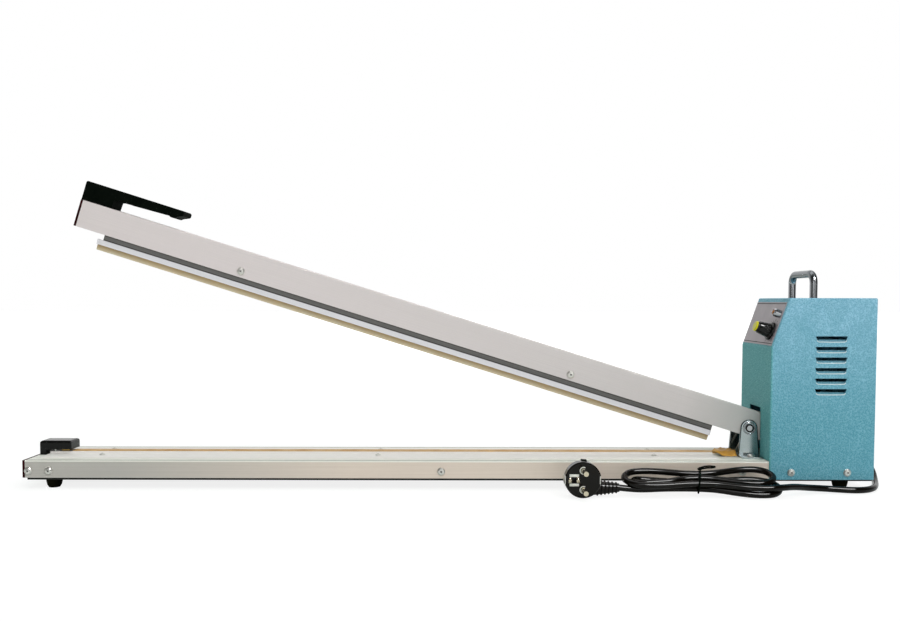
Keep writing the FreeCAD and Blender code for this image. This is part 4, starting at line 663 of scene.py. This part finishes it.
# The tie: a wire twisted round the hank's waist, with two free ends
TIE_HALF_WIDE = 13.2
TIE_HALF_THICK = 7.5
TIE_SLANT = 0.27
TIE_SETBACK = 1.0
TIE_LOWERING = 0.5
TIE_STEPS = 40
TIE_LOOP_RADIUS = 0.9
TIE_END_RADIUS = 0.85
TIE_UPPER = [(0.6, 11.6, 6.4), (2.2, 13.8, 7.4), (7.0, 15.6, 8.0), (13.0, 16.4, 8.0), (18.0, 15.4, 8.0)]
TIE_LOWER = [(1.4, 10.8, 7.0), (4.0, 12.0, 7.6), (9.0, 12.8, 8.0), (14.0, 13.0, 8.0), (18.0, 14.6, 8.0)]
TIE_KNOT = [(-0.4, 12.6, 6.6), (2.0, 13.4, 7.6), (3.2, 11.0, 7.8), (1.0, 9.4, 7.8), (-0.2, 11.0, 8.2),
            (1.8, 12.8, 8.4)]


def tie_point(angle):
    """A point of the tie's loop, halfway between a rectangle and an oval."""
    wide = math.cos(angle)
    thick = math.sin(angle)
    rectangle = 1.0 / max(abs(wide) / TIE_HALF_WIDE, abs(thick) / TIE_HALF_THICK)
    oval = 1.0 / math.hypot(wide / TIE_HALF_WIDE, thick / TIE_HALF_THICK)
    reach = (rectangle + oval) / 2
    across = reach * wide - TIE_LOWERING
    return hank_point(TIE_SLANT * across - TIE_SETBACK, across, reach * thick)


def twist_tie():
    """One loop of wire over the strands, its knot, and its two ends bent to the right along the top."""
    shape = bmesh.new()
    loop = [tie_point(2 * math.pi * k / TIE_STEPS) for k in range(TIE_STEPS + 1)]
    tube_mesh(shape, loop, TIE_LOOP_RADIUS)
    for tail in (TIE_UPPER, TIE_LOWER, TIE_KNOT):
        tube_mesh(shape, [hank_point(*place) for place in tail], TIE_END_RADIUS)
    made = mesh_piece("twist_tie", shape)
    finish_piece(made, "base", "black_moulding")
    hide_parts("cord_tie")
    return made


tie = twist_tie()

# The crumpled end of the cloth beside the hinge
FLAP_LEFT = 283.4
FLAP_LENGTH = 23.4
FLAP_HALF_WIDTH = 16.6
FLAP_NARROW = 0.42
FLAP_FULL_FROM = 0.32
FLAP_CROWN = CLOTH_TOP + 0.5
FLAP_FOOT = CHANNEL_TOP + 0.45
FLAP_FLAT_HALF = 9.0
FLAP_FALL = 7.6
FLAP_FALL_CURVE = 1.2
FLAP_THICKNESS = 0.18
FLAP_COLUMNS = 26
FLAP_ROWS = 30

# How the flap is crumpled: waves and ridges, calmer where it falls and at its left end, and uneven edges
WAVE_HEIGHT = 1.2
WAVE_ALONG = 0.36
WAVE_ACROSS = 3.4
RIDGE_HEIGHT = 1.1
RIDGE_ALONG = 0.27
RIDGE_ACROSS = -2.6
RIDGE_PHASE = 0.6
CALM_WITH_FALL = 0.6
CALM_AT_LEFT = 0.3
CALM_LENGTH = 0.25
SIDE_WANDER = 0.5
SIDE_ALONG = 0.6
CUT_SLANT = 4.0
CUT_FROM = -0.3
END_WANDER = 0.5
END_ACROSS = 4.1
END_PHASE = 1.0


def flap_point(share, across):
    """A point of the flap: its share of the length from the left, and its place across from -1 to 1."""
    x = FLAP_LEFT + FLAP_LENGTH * share
    widening = min(1.0, share / FLAP_FULL_FROM)
    y = FLAP_HALF_WIDTH * across * (FLAP_NARROW + (1.0 - FLAP_NARROW) * widening)
    fall = max(0.0, abs(y) - FLAP_FLAT_HALF) / FLAP_FALL
    z = FLAP_CROWN - (FLAP_CROWN - FLAP_FOOT) * fall ** FLAP_FALL_CURVE
    wave = 0.5 + 0.5 * math.sin(WAVE_ALONG * x + WAVE_ACROSS * across)
    ridge = 1.0 - abs(math.sin(RIDGE_ALONG * x + RIDGE_ACROSS * across + RIDGE_PHASE))
    loose = (1.0 - CALM_WITH_FALL * fall) * min(1.0, CALM_AT_LEFT + share / CALM_LENGTH)
    z += (WAVE_HEIGHT * wave + RIDGE_HEIGHT * ridge ** 2) * loose
    y += SIDE_WANDER * math.sin(SIDE_ALONG * x) * abs(across)
    slanted_cut = (1.0 - share) * CUT_SLANT * max(0.0, across - CUT_FROM)
    ragged_end = share * END_WANDER * math.sin(END_ACROSS * across + END_PHASE)
    return x + slanted_cut + ragged_end, y, z


def end_flap():
    """A thin sheet that lies over the bed's end and falls to the channel on both sides."""
    shape = bmesh.new()
    grid = []
    for i in range(FLAP_COLUMNS + 1):
        places = [flap_point(i / FLAP_COLUMNS, -1.0 + 2.0 * j / FLAP_ROWS) for j in range(FLAP_ROWS + 1)]
        grid.append([shape.verts.new(place) for place in places])
    for i in range(FLAP_COLUMNS):
        for j in range(FLAP_ROWS):
            shape.faces.new((grid[i][j], grid[i + 1][j], grid[i + 1][j + 1], grid[i][j + 1]))
    flap = mesh_piece("cloth_end_flap", shape)
    finish_piece(flap, "base", "amber_cloth")
    thick = flap.modifiers.new("thickness", "SOLIDIFY")
    thick.thickness = FLAP_THICKNESS * MM
    thick.offset = 0.0
    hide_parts("ptfe_end_flap")


end_flap()

# The torsion spring round the hinge pin
SPRING_FOOT = Vector((310.1, 0.0, 30.2))
SPRING_TIP = arm_point(-30.0, 0.0, 16.7)
SPRING_RADIUS = 5.4
SPRING_WIRE_RADIUS = 0.8
SPRING_PITCH = 2.0
SPRING_TURNS = 4
SPRING_STEPS = 168
SPRING_SIDES = 10


def spring_path():
    """The wire's line: from the leg on the base, round the pin, to the leg under the arm's ceiling."""
    ends = [SPRING_FOOT - PIVOT, SPRING_TIP - PIVOT]
    bearings = [math.atan2(p.z, p.x) for p in ends]
    leans = [math.asin(SPRING_RADIUS / math.hypot(p.x, p.z)) for p in ends]
    start = bearings[0] - leans[0] + math.pi / 2
    finish = bearings[1] + leans[1] - math.pi / 2
    sweep = (finish - start) % (2 * math.pi) + 2 * math.pi * SPRING_TURNS
    width = SPRING_PITCH * sweep / (2 * math.pi)
    path = [SPRING_FOOT + BACK * (width / 2)]
    for k in range(SPRING_STEPS + 1):
        share = k / SPRING_STEPS
        angle = start + sweep * share
        turned = (RIGHT * math.cos(angle) + UP * math.sin(angle)) * SPRING_RADIUS
        path.append(PIVOT + turned + BACK * (width * (0.5 - share)))
    path.append(SPRING_TIP - BACK * (width / 2))
    return path


def torsion_spring():
    """The coil and its two legs, one on the base and one under the open arm."""
    shape = bmesh.new()
    tube_mesh(shape, spring_path(), SPRING_WIRE_RADIUS, SPRING_SIDES)
    spring = mesh_piece("torsion_spring", shape)
    dress(spring, "steel_plain")
    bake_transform(spring)
    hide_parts("return_spring")


torsion_spring()

# Cross recesses in the screw heads, drawn as thin dark plates of painted shade
RECESS_REACH = 1.25
SMALL_RECESS_REACH = 0.9
RECESS_WAIST = 0.24
RECESS_THICKNESS = 0.06
SIDE_SCREW_Z = 18.5
CHANNEL_SCREWS_X = (-432.0, -411.0, -7.0, 303.0)
CHANNEL_SCREW_HEAD = 48.4
COVER_SCREWS_X = (352.4, 410.0)
COVER_SCREW_HEAD = 49.9
CLAMP_SCREWS_X = (-366.2, -74.15, 217.9)
CLAMP_SCREW_Y = 18.0
CLAMP_SCREW_HEAD = 32.3
BRACKET_SCREW_Y = 24.4
BRACKET_SCREW_HEAD = 33.8
ARM_SCREWS_ALONG = (-197.2, -561.2)
ARM_SCREW_HEAD = -17.4
ARM_SCREW_ABOVE = -2.5


def cross_recess(shape, centre, outward, reach):
    """A cross-shaped mark on a screw's head: a thin dark plate of painted shade standing in for the recess.
    """
    side = outward.orthogonal().normalized()
    other = outward.cross(side)
    half = reach * RECESS_WAIST
    corners = [(reach, half), (half, half), (half, reach),
               (-half, reach), (-half, half), (-reach, half),
               (-reach, -half), (-half, -half), (-half, -reach),
               (half, -reach), (half, -half), (reach, -half)]
    add_prism(shape, [centre + side * a + other * b for a, b in corners], outward * RECESS_THICKNESS)


def screw_marks():
    """The recesses of the screws that show on the base, the housing, the brackets and the arm, each as
    painted shade.
    """
    shape = bmesh.new()
    for places, face in ((CHANNEL_SCREWS_X, CHANNEL_SCREW_HEAD), (COVER_SCREWS_X, COVER_SCREW_HEAD)):
        for x in places:
            for side in SIDES:
                head = Vector((x, side * face, SIDE_SCREW_Z))
                cross_recess(shape, head, BACK * side, RECESS_REACH)
    for x in CLAMP_SCREWS_X:
        for side in SIDES:
            head = Vector((x, side * CLAMP_SCREW_Y, CLAMP_SCREW_HEAD))
            cross_recess(shape, head, UP, SMALL_RECESS_REACH)
    for side in SIDES:
        head = Vector((PIVOT.x, side * BRACKET_SCREW_Y, BRACKET_SCREW_HEAD))
        cross_recess(shape, head, UP, RECESS_REACH)
    recesses = mesh_piece("base_screw_recesses", shape)
    finish_piece(recesses, "base", "recess_dark", smooth=False)

    shape = bmesh.new()
    for along in ARM_SCREWS_ALONG:
        cross_recess(shape, arm_point(along, ARM_SCREW_HEAD, ARM_SCREW_ABOVE), -BACK, RECESS_REACH)
    recesses = mesh_piece("arm_screw_recesses", shape)
    finish_piece(recesses, "arm", "recess_dark", smooth=False)


screw_marks()

# Lower lips of the louvres, pale as a painted highlight: a row's line along X, and how far above the lip's
# lowest point
LOUVRE_ROWS = 6
LOUVRE_TOP_LIP = 152.5
LOUVRE_PITCH = 10.8
LIP_FACE = 47.35
LIP_RADIUS = 0.5
LIP_LINE = [(376.4, 1.7), (377.2, 0.6), (378.6, 0.1), (391.5, 0.0), (404.4, 0.1), (405.8, 0.6), (406.6, 1.7)]

# Rings round the hinge pin, a dark groove of painted shade and a plated collar, and dark tubes of painted
# reflection along the edges of its brackets
GROOVE_FACE = -19.4
GROOVE_RING = 3.6
GROOVE_RADIUS = 0.75
COLLAR_FACE = 17.4
COLLAR_RING = 6.2
COLLAR_RADIUS = 0.7
BRACKET_FACE = 17.2
BRACKET_CROWN = 8.4
BRACKET_FOOT = 32.0
BRACKET_RIGHT = 329.1
BRACKET_LEFT = 307.9
BRACKET_EDGE_RADIUS = 0.5


def pressed_details():
    """Lips, rings and edges that are too fine for the solids: pale lips as painted highlights, a groove as
    painted shade, plated collars, and dark bracket edges as painted reflection.
    """
    shape = bmesh.new()
    # Painted highlight: pale tubes along the louvres' lower lips.
    for row in range(LOUVRE_ROWS):
        low = LOUVRE_TOP_LIP - LOUVRE_PITCH * row
        for side in SIDES:
            lip = [Vector((x, side * LIP_FACE, low + above)) for x, above in LIP_LINE]
            tube_mesh(shape, lip, LIP_RADIUS)
    finish_piece(mesh_piece("louvre_lip_highlights", shape), "base", "lip_shine")

    shape = bmesh.new()
    # Painted shade: a dark ring for the groove round the pin's head.
    tube_mesh(shape, ring_path(PIVOT + BACK * GROOVE_FACE, RIGHT, UP, GROOVE_RING), GROOVE_RADIUS)
    finish_piece(mesh_piece("pin_groove_shade", shape), "base", "recess_dark")

    shape = bmesh.new()
    for side in SIDES:
        centre = PIVOT + BACK * COLLAR_FACE * side
        tube_mesh(shape, ring_path(centre, RIGHT, UP, COLLAR_RING), COLLAR_RADIUS)
    finish_piece(mesh_piece("pin_collars", shape), "base", "chrome_plate")

    # Painted reflection: dark tubes along the brackets' outline stand in for their rounded edges mirroring a
    # dark surround.
    shape = bmesh.new()
    crown = ring_path(PIVOT, RIGHT, UP, BRACKET_CROWN, sweep=180.0)
    right_foot = Vector((BRACKET_RIGHT, 0.0, BRACKET_FOOT))
    left_foot = Vector((BRACKET_LEFT, 0.0, BRACKET_FOOT))
    edge = [right_foot, *crown, left_foot]
    for side in SIDES:
        tube_mesh(shape, [p + BACK * BRACKET_FACE * side for p in edge], BRACKET_EDGE_RADIUS)
    finish_piece(mesh_piece("bracket_edge_reflections", shape), "base", "edge_shade")


pressed_details()

# Print on the control panel: two rules, a dial round the knob, and the knob's pointer
PRINT_FACE = 0.5
PRINT_THICKNESS = 0.04
RULES_UP = (4.3, 47.6)
RULE_HALF_LENGTH = 44.2
RULE_WIDTH = 0.7
KNOB_UP = 17.4
KNOB_ACROSS = -31.5
TICKS = 11
LONG_TICK_EVERY = 5
FIRST_TICK = -140
TICK_STEP = 28
TICK_INNER = 11.2
TICK_OUTER = 13.4
LONG_TICK_OUTER = 14.2
TICK_HALF_ANGLE = 0.028
POINTER_FACE = 4.31
POINTER_THICKNESS = 0.05
POINTER_INNER = 7.6
POINTER_OUTER = 8.9
POINTER_HALF_WIDTH = 0.5


def tick_point(radius, angle):
    """A point of the dial, at a radius and an angle round the knob."""
    up = KNOB_UP + radius * math.cos(angle)
    across = KNOB_ACROSS - radius * math.sin(angle)
    return panel_point(up, across, PRINT_FACE)


def panel_print():
    """The rules, the ticks and the pointer, each a thin plate."""
    shape = bmesh.new()
    for low in RULES_UP:
        high = low + RULE_WIDTH
        corners = [(low, -RULE_HALF_LENGTH), (low, RULE_HALF_LENGTH),
                   (high, RULE_HALF_LENGTH), (high, -RULE_HALF_LENGTH)]
        points = [panel_point(up, across, PRINT_FACE) for up, across in corners]
        add_prism(shape, points, PANEL_OUT * PRINT_THICKNESS)
    for k in range(TICKS):
        angle = math.radians(FIRST_TICK + TICK_STEP * k)
        outer = TICK_OUTER if k % LONG_TICK_EVERY else LONG_TICK_OUTER
        half = TICK_HALF_ANGLE
        outer_half = half * TICK_INNER / outer
        corners = [(TICK_INNER, -half), (outer, -outer_half), (outer, outer_half), (TICK_INNER, half)]
        points = [tick_point(radius, angle + turn) for radius, turn in corners]
        add_prism(shape, points, PANEL_OUT * PRINT_THICKNESS)
    finish_piece(mesh_piece("panel_rules", shape), "base", "print_black", smooth=False)

    shape = bmesh.new()
    corners = [(POINTER_INNER, -POINTER_HALF_WIDTH), (POINTER_OUTER, -POINTER_HALF_WIDTH),
               (POINTER_OUTER, POINTER_HALF_WIDTH), (POINTER_INNER, POINTER_HALF_WIDTH)]
    points = [panel_point(KNOB_UP + up, KNOB_ACROSS + across, POINTER_FACE) for up, across in corners]
    add_prism(shape, points, PANEL_OUT * POINTER_THICKNESS)
    finish_piece(mesh_piece("knob_pointer", shape), "knob", "white_insulation", smooth=False)


panel_print()

# Plug details: ribs on the relief, sleeves round the pins, the earth socket's frame and a finger nub
PLUG_FACE = Vector((133.0, -90.0, 18.3))
RELIEF_START = Vector((143.8, -79.0, 8.9))
RELIEF_LENGTH = 26.2
RELIEF_RADIUS = 7.5
RELIEF_TAPER = 3.25
RIBS = 6
FIRST_RIB = 1.2
RIB_PROUD = 0.35
RIB_RADIUS = 0.8
PIN_UP = 9.5
SLEEVE_PROUD = 0.3
SLEEVE_RING = 3.3
SLEEVE_START = 60.0
SLEEVE_SWEEP = 250.0
SLEEVE_RADIUS = 0.55
EARTH_ALONG = -9.0
EARTH_BAR_UP = 4.6
EARTH_BAR_HALF = (4.6, 1.3)
EARTH_BAR_PROUD = 0.35
EARTH_PLATE_APART = 3.9
EARTH_PLATE_HALF = (1.5, 3.0)
EARTH_PLATE_PROUD = 0.2
NUB_OUTLINE = [(-1.4, 16.6), (-0.9, 18.9), (4.2, 18.6), (5.0, 16.2)]
NUB_BACK = 8.0
NUB_DEPTH = 6.0


def add_front_plate(shape, middle, half, proud):
    """A rectangle on the plug's face, standing out towards the front."""
    wide, high = half
    corners = [(-wide, -high), (wide, -high), (wide, high), (-wide, high)]
    add_prism(shape, [middle + RIGHT * a + UP * b for a, b in corners], BACK * -proud)


def plug_details():
    """The small pieces on the plug and its relief."""
    shape = bmesh.new()
    for k in range(RIBS):
        share = (k + FIRST_RIB) / (RIBS + 1)
        centre = RELIEF_START + RIGHT * (RELIEF_LENGTH * share)
        rib = RELIEF_RADIUS - RELIEF_TAPER * share + RIB_PROUD
        tube_mesh(shape, ring_path(centre, BACK, UP, rib), RIB_RADIUS)
    ribs = finish_piece(mesh_piece("plug_relief_ribs", shape), "base", "black_rubber")

    shape = bmesh.new()
    for side in SIDES:
        centre = PLUG_FACE + UP * PIN_UP * side - BACK * SLEEVE_PROUD
        sleeve = ring_path(centre, RIGHT, UP, SLEEVE_RING, SLEEVE_START, SLEEVE_SWEEP)
        tube_mesh(shape, sleeve, SLEEVE_RADIUS)
    for side in SIDES:
        middle = PLUG_FACE + RIGHT * EARTH_ALONG + UP * EARTH_BAR_UP * side
        add_front_plate(shape, middle, EARTH_BAR_HALF, EARTH_BAR_PROUD)
    rims = finish_piece(mesh_piece("plug_rims", shape), "base", "white_insulation")

    shape = bmesh.new()
    for side in SIDES:
        middle = PLUG_FACE + RIGHT * (EARTH_ALONG + EARTH_PLATE_APART * side)
        add_front_plate(shape, middle, EARTH_PLATE_HALF, EARTH_PLATE_PROUD)
    plates = finish_piece(mesh_piece("earth_plates", shape), "base", "nickel_pin")

    shape = bmesh.new()
    outline = [PLUG_FACE + RIGHT * a + UP * b + BACK * NUB_BACK for a, b in NUB_OUTLINE]
    add_prism(shape, outline, BACK * NUB_DEPTH)
    nub = mesh_piece("plug_nub", shape)
    finish_piece(nub, "base", "black_moulding", smooth=False)
    return [ribs, rims, plates, nub]


plug_pieces = plug_details()

# Stage: a pale floor, soft light and a camera that looks square at the long side
WHITE = (1.0, 1.0, 1.0, 1.0)
FLOOR_SIZE = 30.0
FLOOR_HEIGHT = -0.0002
FLOOR_COLOUR = (0.95, 0.95, 0.95)
FLOOR_GLOW = 0.75
GLOW_REACH = (0.8, 2.5)
GLOW_STRENGTH = (1.12, 1.4)
FRONT_SHADE = 0.1
OVERHEAD_SHINE = 55.0
UPRIGHT_SHINE = 1.6
LEFT_TINT = (0.45, 1.0, 0.68, 1.0)
RIGHT_TINT = (1.0, 0.99, 0.98, 1.0)
SOFT_LIGHT = 0.75
LEFT_LIGHT = 0.08

# Spans of the world's directions: a softbox has a start, full strength, a fade and an end
OVERHEAD_Z = (0.6, 0.63, 0.71, 0.74)
OVERHEAD_X = (0.03, 0.1, 0.44, 0.5)
UPRIGHT_X = (0.2, 0.26, 0.4, 0.46)
BOXES_Y = (-0.15, 0.05)
SHADE_Y = (0.0, 0.75)
TINT_X = (-0.9, 0.3)
LIGHT_X = (-0.9, 0.5)

# Lamps and camera, in metres
LAMPS = {
    "key": {"place": (0.65, -1.7, 1.9), "target": (0.0, 0.0, 0.1), "size": (1.8, 1.0), "power": 20.5},
    "fill": {"place": (-0.5, -2.2, 0.7), "target": (-0.3, 0.0, 0.1), "size": (1.2, 1.0), "power": 4.0},
    "top": {"place": (0.0, 0.4, 2.2), "target": (0.0, 0.0, 0.0), "size": (2.2, 1.2), "power": 10.5},
}
CAMERA_PLACE = (0.00181, -0.9875, 0.1937)
CAMERA_DOWN = 2.804
CAMERA_ROLL = 0.1
SENSOR_WIDTH = 36.0
LENS = 36.884
SHIFT_UP = 0.0398


def white_floor():
    """A floor that shows as white, with the object's soft shadow on it."""
    bpy.ops.mesh.primitive_plane_add(size=FLOOR_SIZE, location=(0.0, 0.0, FLOOR_HEIGHT))
    floor = bpy.context.object
    floor.name = "floor"
    shader = Shader("floor_white", FLOOR_COLOUR, 0.9)
    shader.set("Specular IOR Level", 0.1)
    glow = shader.add("ShaderNodeEmission")
    reach = shader.add("ShaderNodeVectorMath", operation="LENGTH")
    shader.link(shader.place, reach.inputs[0])
    strength = shader.spread(reach.outputs["Value"], *GLOW_REACH, *GLOW_STRENGTH)
    shader.link(strength, glow.inputs["Strength"])
    rays = shader.add("ShaderNodeLightPath")
    share = shader.rise(rays.outputs["Is Camera Ray"], 0.0, 1.0, most=FLOOR_GLOW)
    blend = shader.add("ShaderNodeMixShader")
    shader.link(share, blend.inputs[0])
    shader.link(shader.main.outputs[0], blend.inputs[1])
    shader.link(glow.outputs[0], blend.inputs[2])
    shader.link(blend.outputs[0], shader.tree.nodes["Material Output"].inputs["Surface"])
    floor.data.materials.append(shader.material)


def studio_world(scene):
    """White to the camera; to gloss, white behind, darker in front, with softboxes; else soft light."""
    world = scene.world or bpy.data.worlds.new("studio")
    scene.world = world
    world.use_nodes = True
    tree = world.node_tree
    tree.nodes.clear()

    def add(kind, *inputs, **values):
        node = tree.nodes.new(kind)
        for key, held in values.items():
            setattr(node, key, held)
        for socket, held in zip(node.inputs, inputs):
            if isinstance(held, bpy.types.NodeSocket):
                tree.links.new(held, socket)
            else:
                socket.default_value = held
        return node.outputs

    rays = add("ShaderNodeLightPath")
    where = add("ShaderNodeTexCoord")["Generated"]
    parts = add("ShaderNodeSeparateXYZ", where)

    def ramp(letter, low, high, first, last):
        return add("ShaderNodeMapRange", parts[letter], low, high, first, last)["Result"]

    def band(letter, start, full, fade, end):
        """The two ramps of a band that is soft at both edges."""
        return ramp(letter, start, full, 0.0, 1.0), ramp(letter, fade, end, 1.0, 0.0)

    def brighter(first, second):
        return add("ShaderNodeMath", first, second, operation="MAXIMUM")[0]

    def times(*factors):
        held = factors[0]
        for factor in factors[1:]:
            held = add("ShaderNodeMath", held, factor, operation="MULTIPLY")[0]
        return held

    front = ramp("Y", *BOXES_Y, 1.0, 0.0)
    overhead = times(*band("Z", *OVERHEAD_Z), *band("X", *OVERHEAD_X), front, OVERHEAD_SHINE)
    upright = times(*band("X", *UPRIGHT_X), front, UPRIGHT_SHINE)
    shown = brighter(brighter(ramp("Y", *SHADE_Y, FRONT_SHADE, 1.0), overhead), upright)
    mirror = add("ShaderNodeBackground", WHITE, shown)[0]
    tint = add("ShaderNodeMixRGB", ramp("X", *TINT_X, 0.0, 1.0), LEFT_TINT, RIGHT_TINT)[0]
    soft = add("ShaderNodeBackground", tint, ramp("X", *LIGHT_X, LEFT_LIGHT, SOFT_LIGHT))[0]
    plain = add("ShaderNodeBackground", WHITE, 1.0)[0]
    through = brighter(rays["Is Glossy Ray"], rays["Is Transmission Ray"])
    seen = add("ShaderNodeMixShader", through, soft, mirror)[0]
    whole = add("ShaderNodeMixShader", rays["Is Camera Ray"], seen, plain)[0]
    add("ShaderNodeOutputWorld", whole)


def area_lamp(scene, name, place, target, size, power):
    """A rectangular lamp that faces a target."""
    data = bpy.data.lights.new(name, "AREA")
    data.shape = "RECTANGLE"
    data.size = size[0]
    data.size_y = size[1]
    data.energy = power
    lamp = bpy.data.objects.new(name, data)
    lamp.location = place
    lamp.rotation_euler = (Vector(target) - Vector(place)).to_track_quat("-Z", "Y").to_euler()
    scene.collection.objects.link(lamp)


def front_camera(scene):
    """The camera, a little above the part and tipped down."""
    data = bpy.data.cameras.new("camera")
    data.sensor_width = SENSOR_WIDTH
    data.lens = LENS
    data.shift_y = SHIFT_UP
    camera = bpy.data.objects.new("camera", data)
    camera.location = CAMERA_PLACE
    tip = Matrix.Rotation(math.radians(90.0 - CAMERA_DOWN), 3, "X")
    roll = Matrix.Rotation(math.radians(CAMERA_ROLL), 3, "Z")
    camera.rotation_euler = (tip @ roll).to_euler()
    scene.collection.objects.link(camera)
    scene.camera = camera


def stage():
    """The floor, the world, the lamps and the camera."""
    scene = bpy.context.scene
    scene.view_settings.view_transform = "Standard"
    white_floor()
    studio_world(scene)
    for name, values in LAMPS.items():
        area_lamp(scene, name, **values)
    front_camera(scene)


stage()
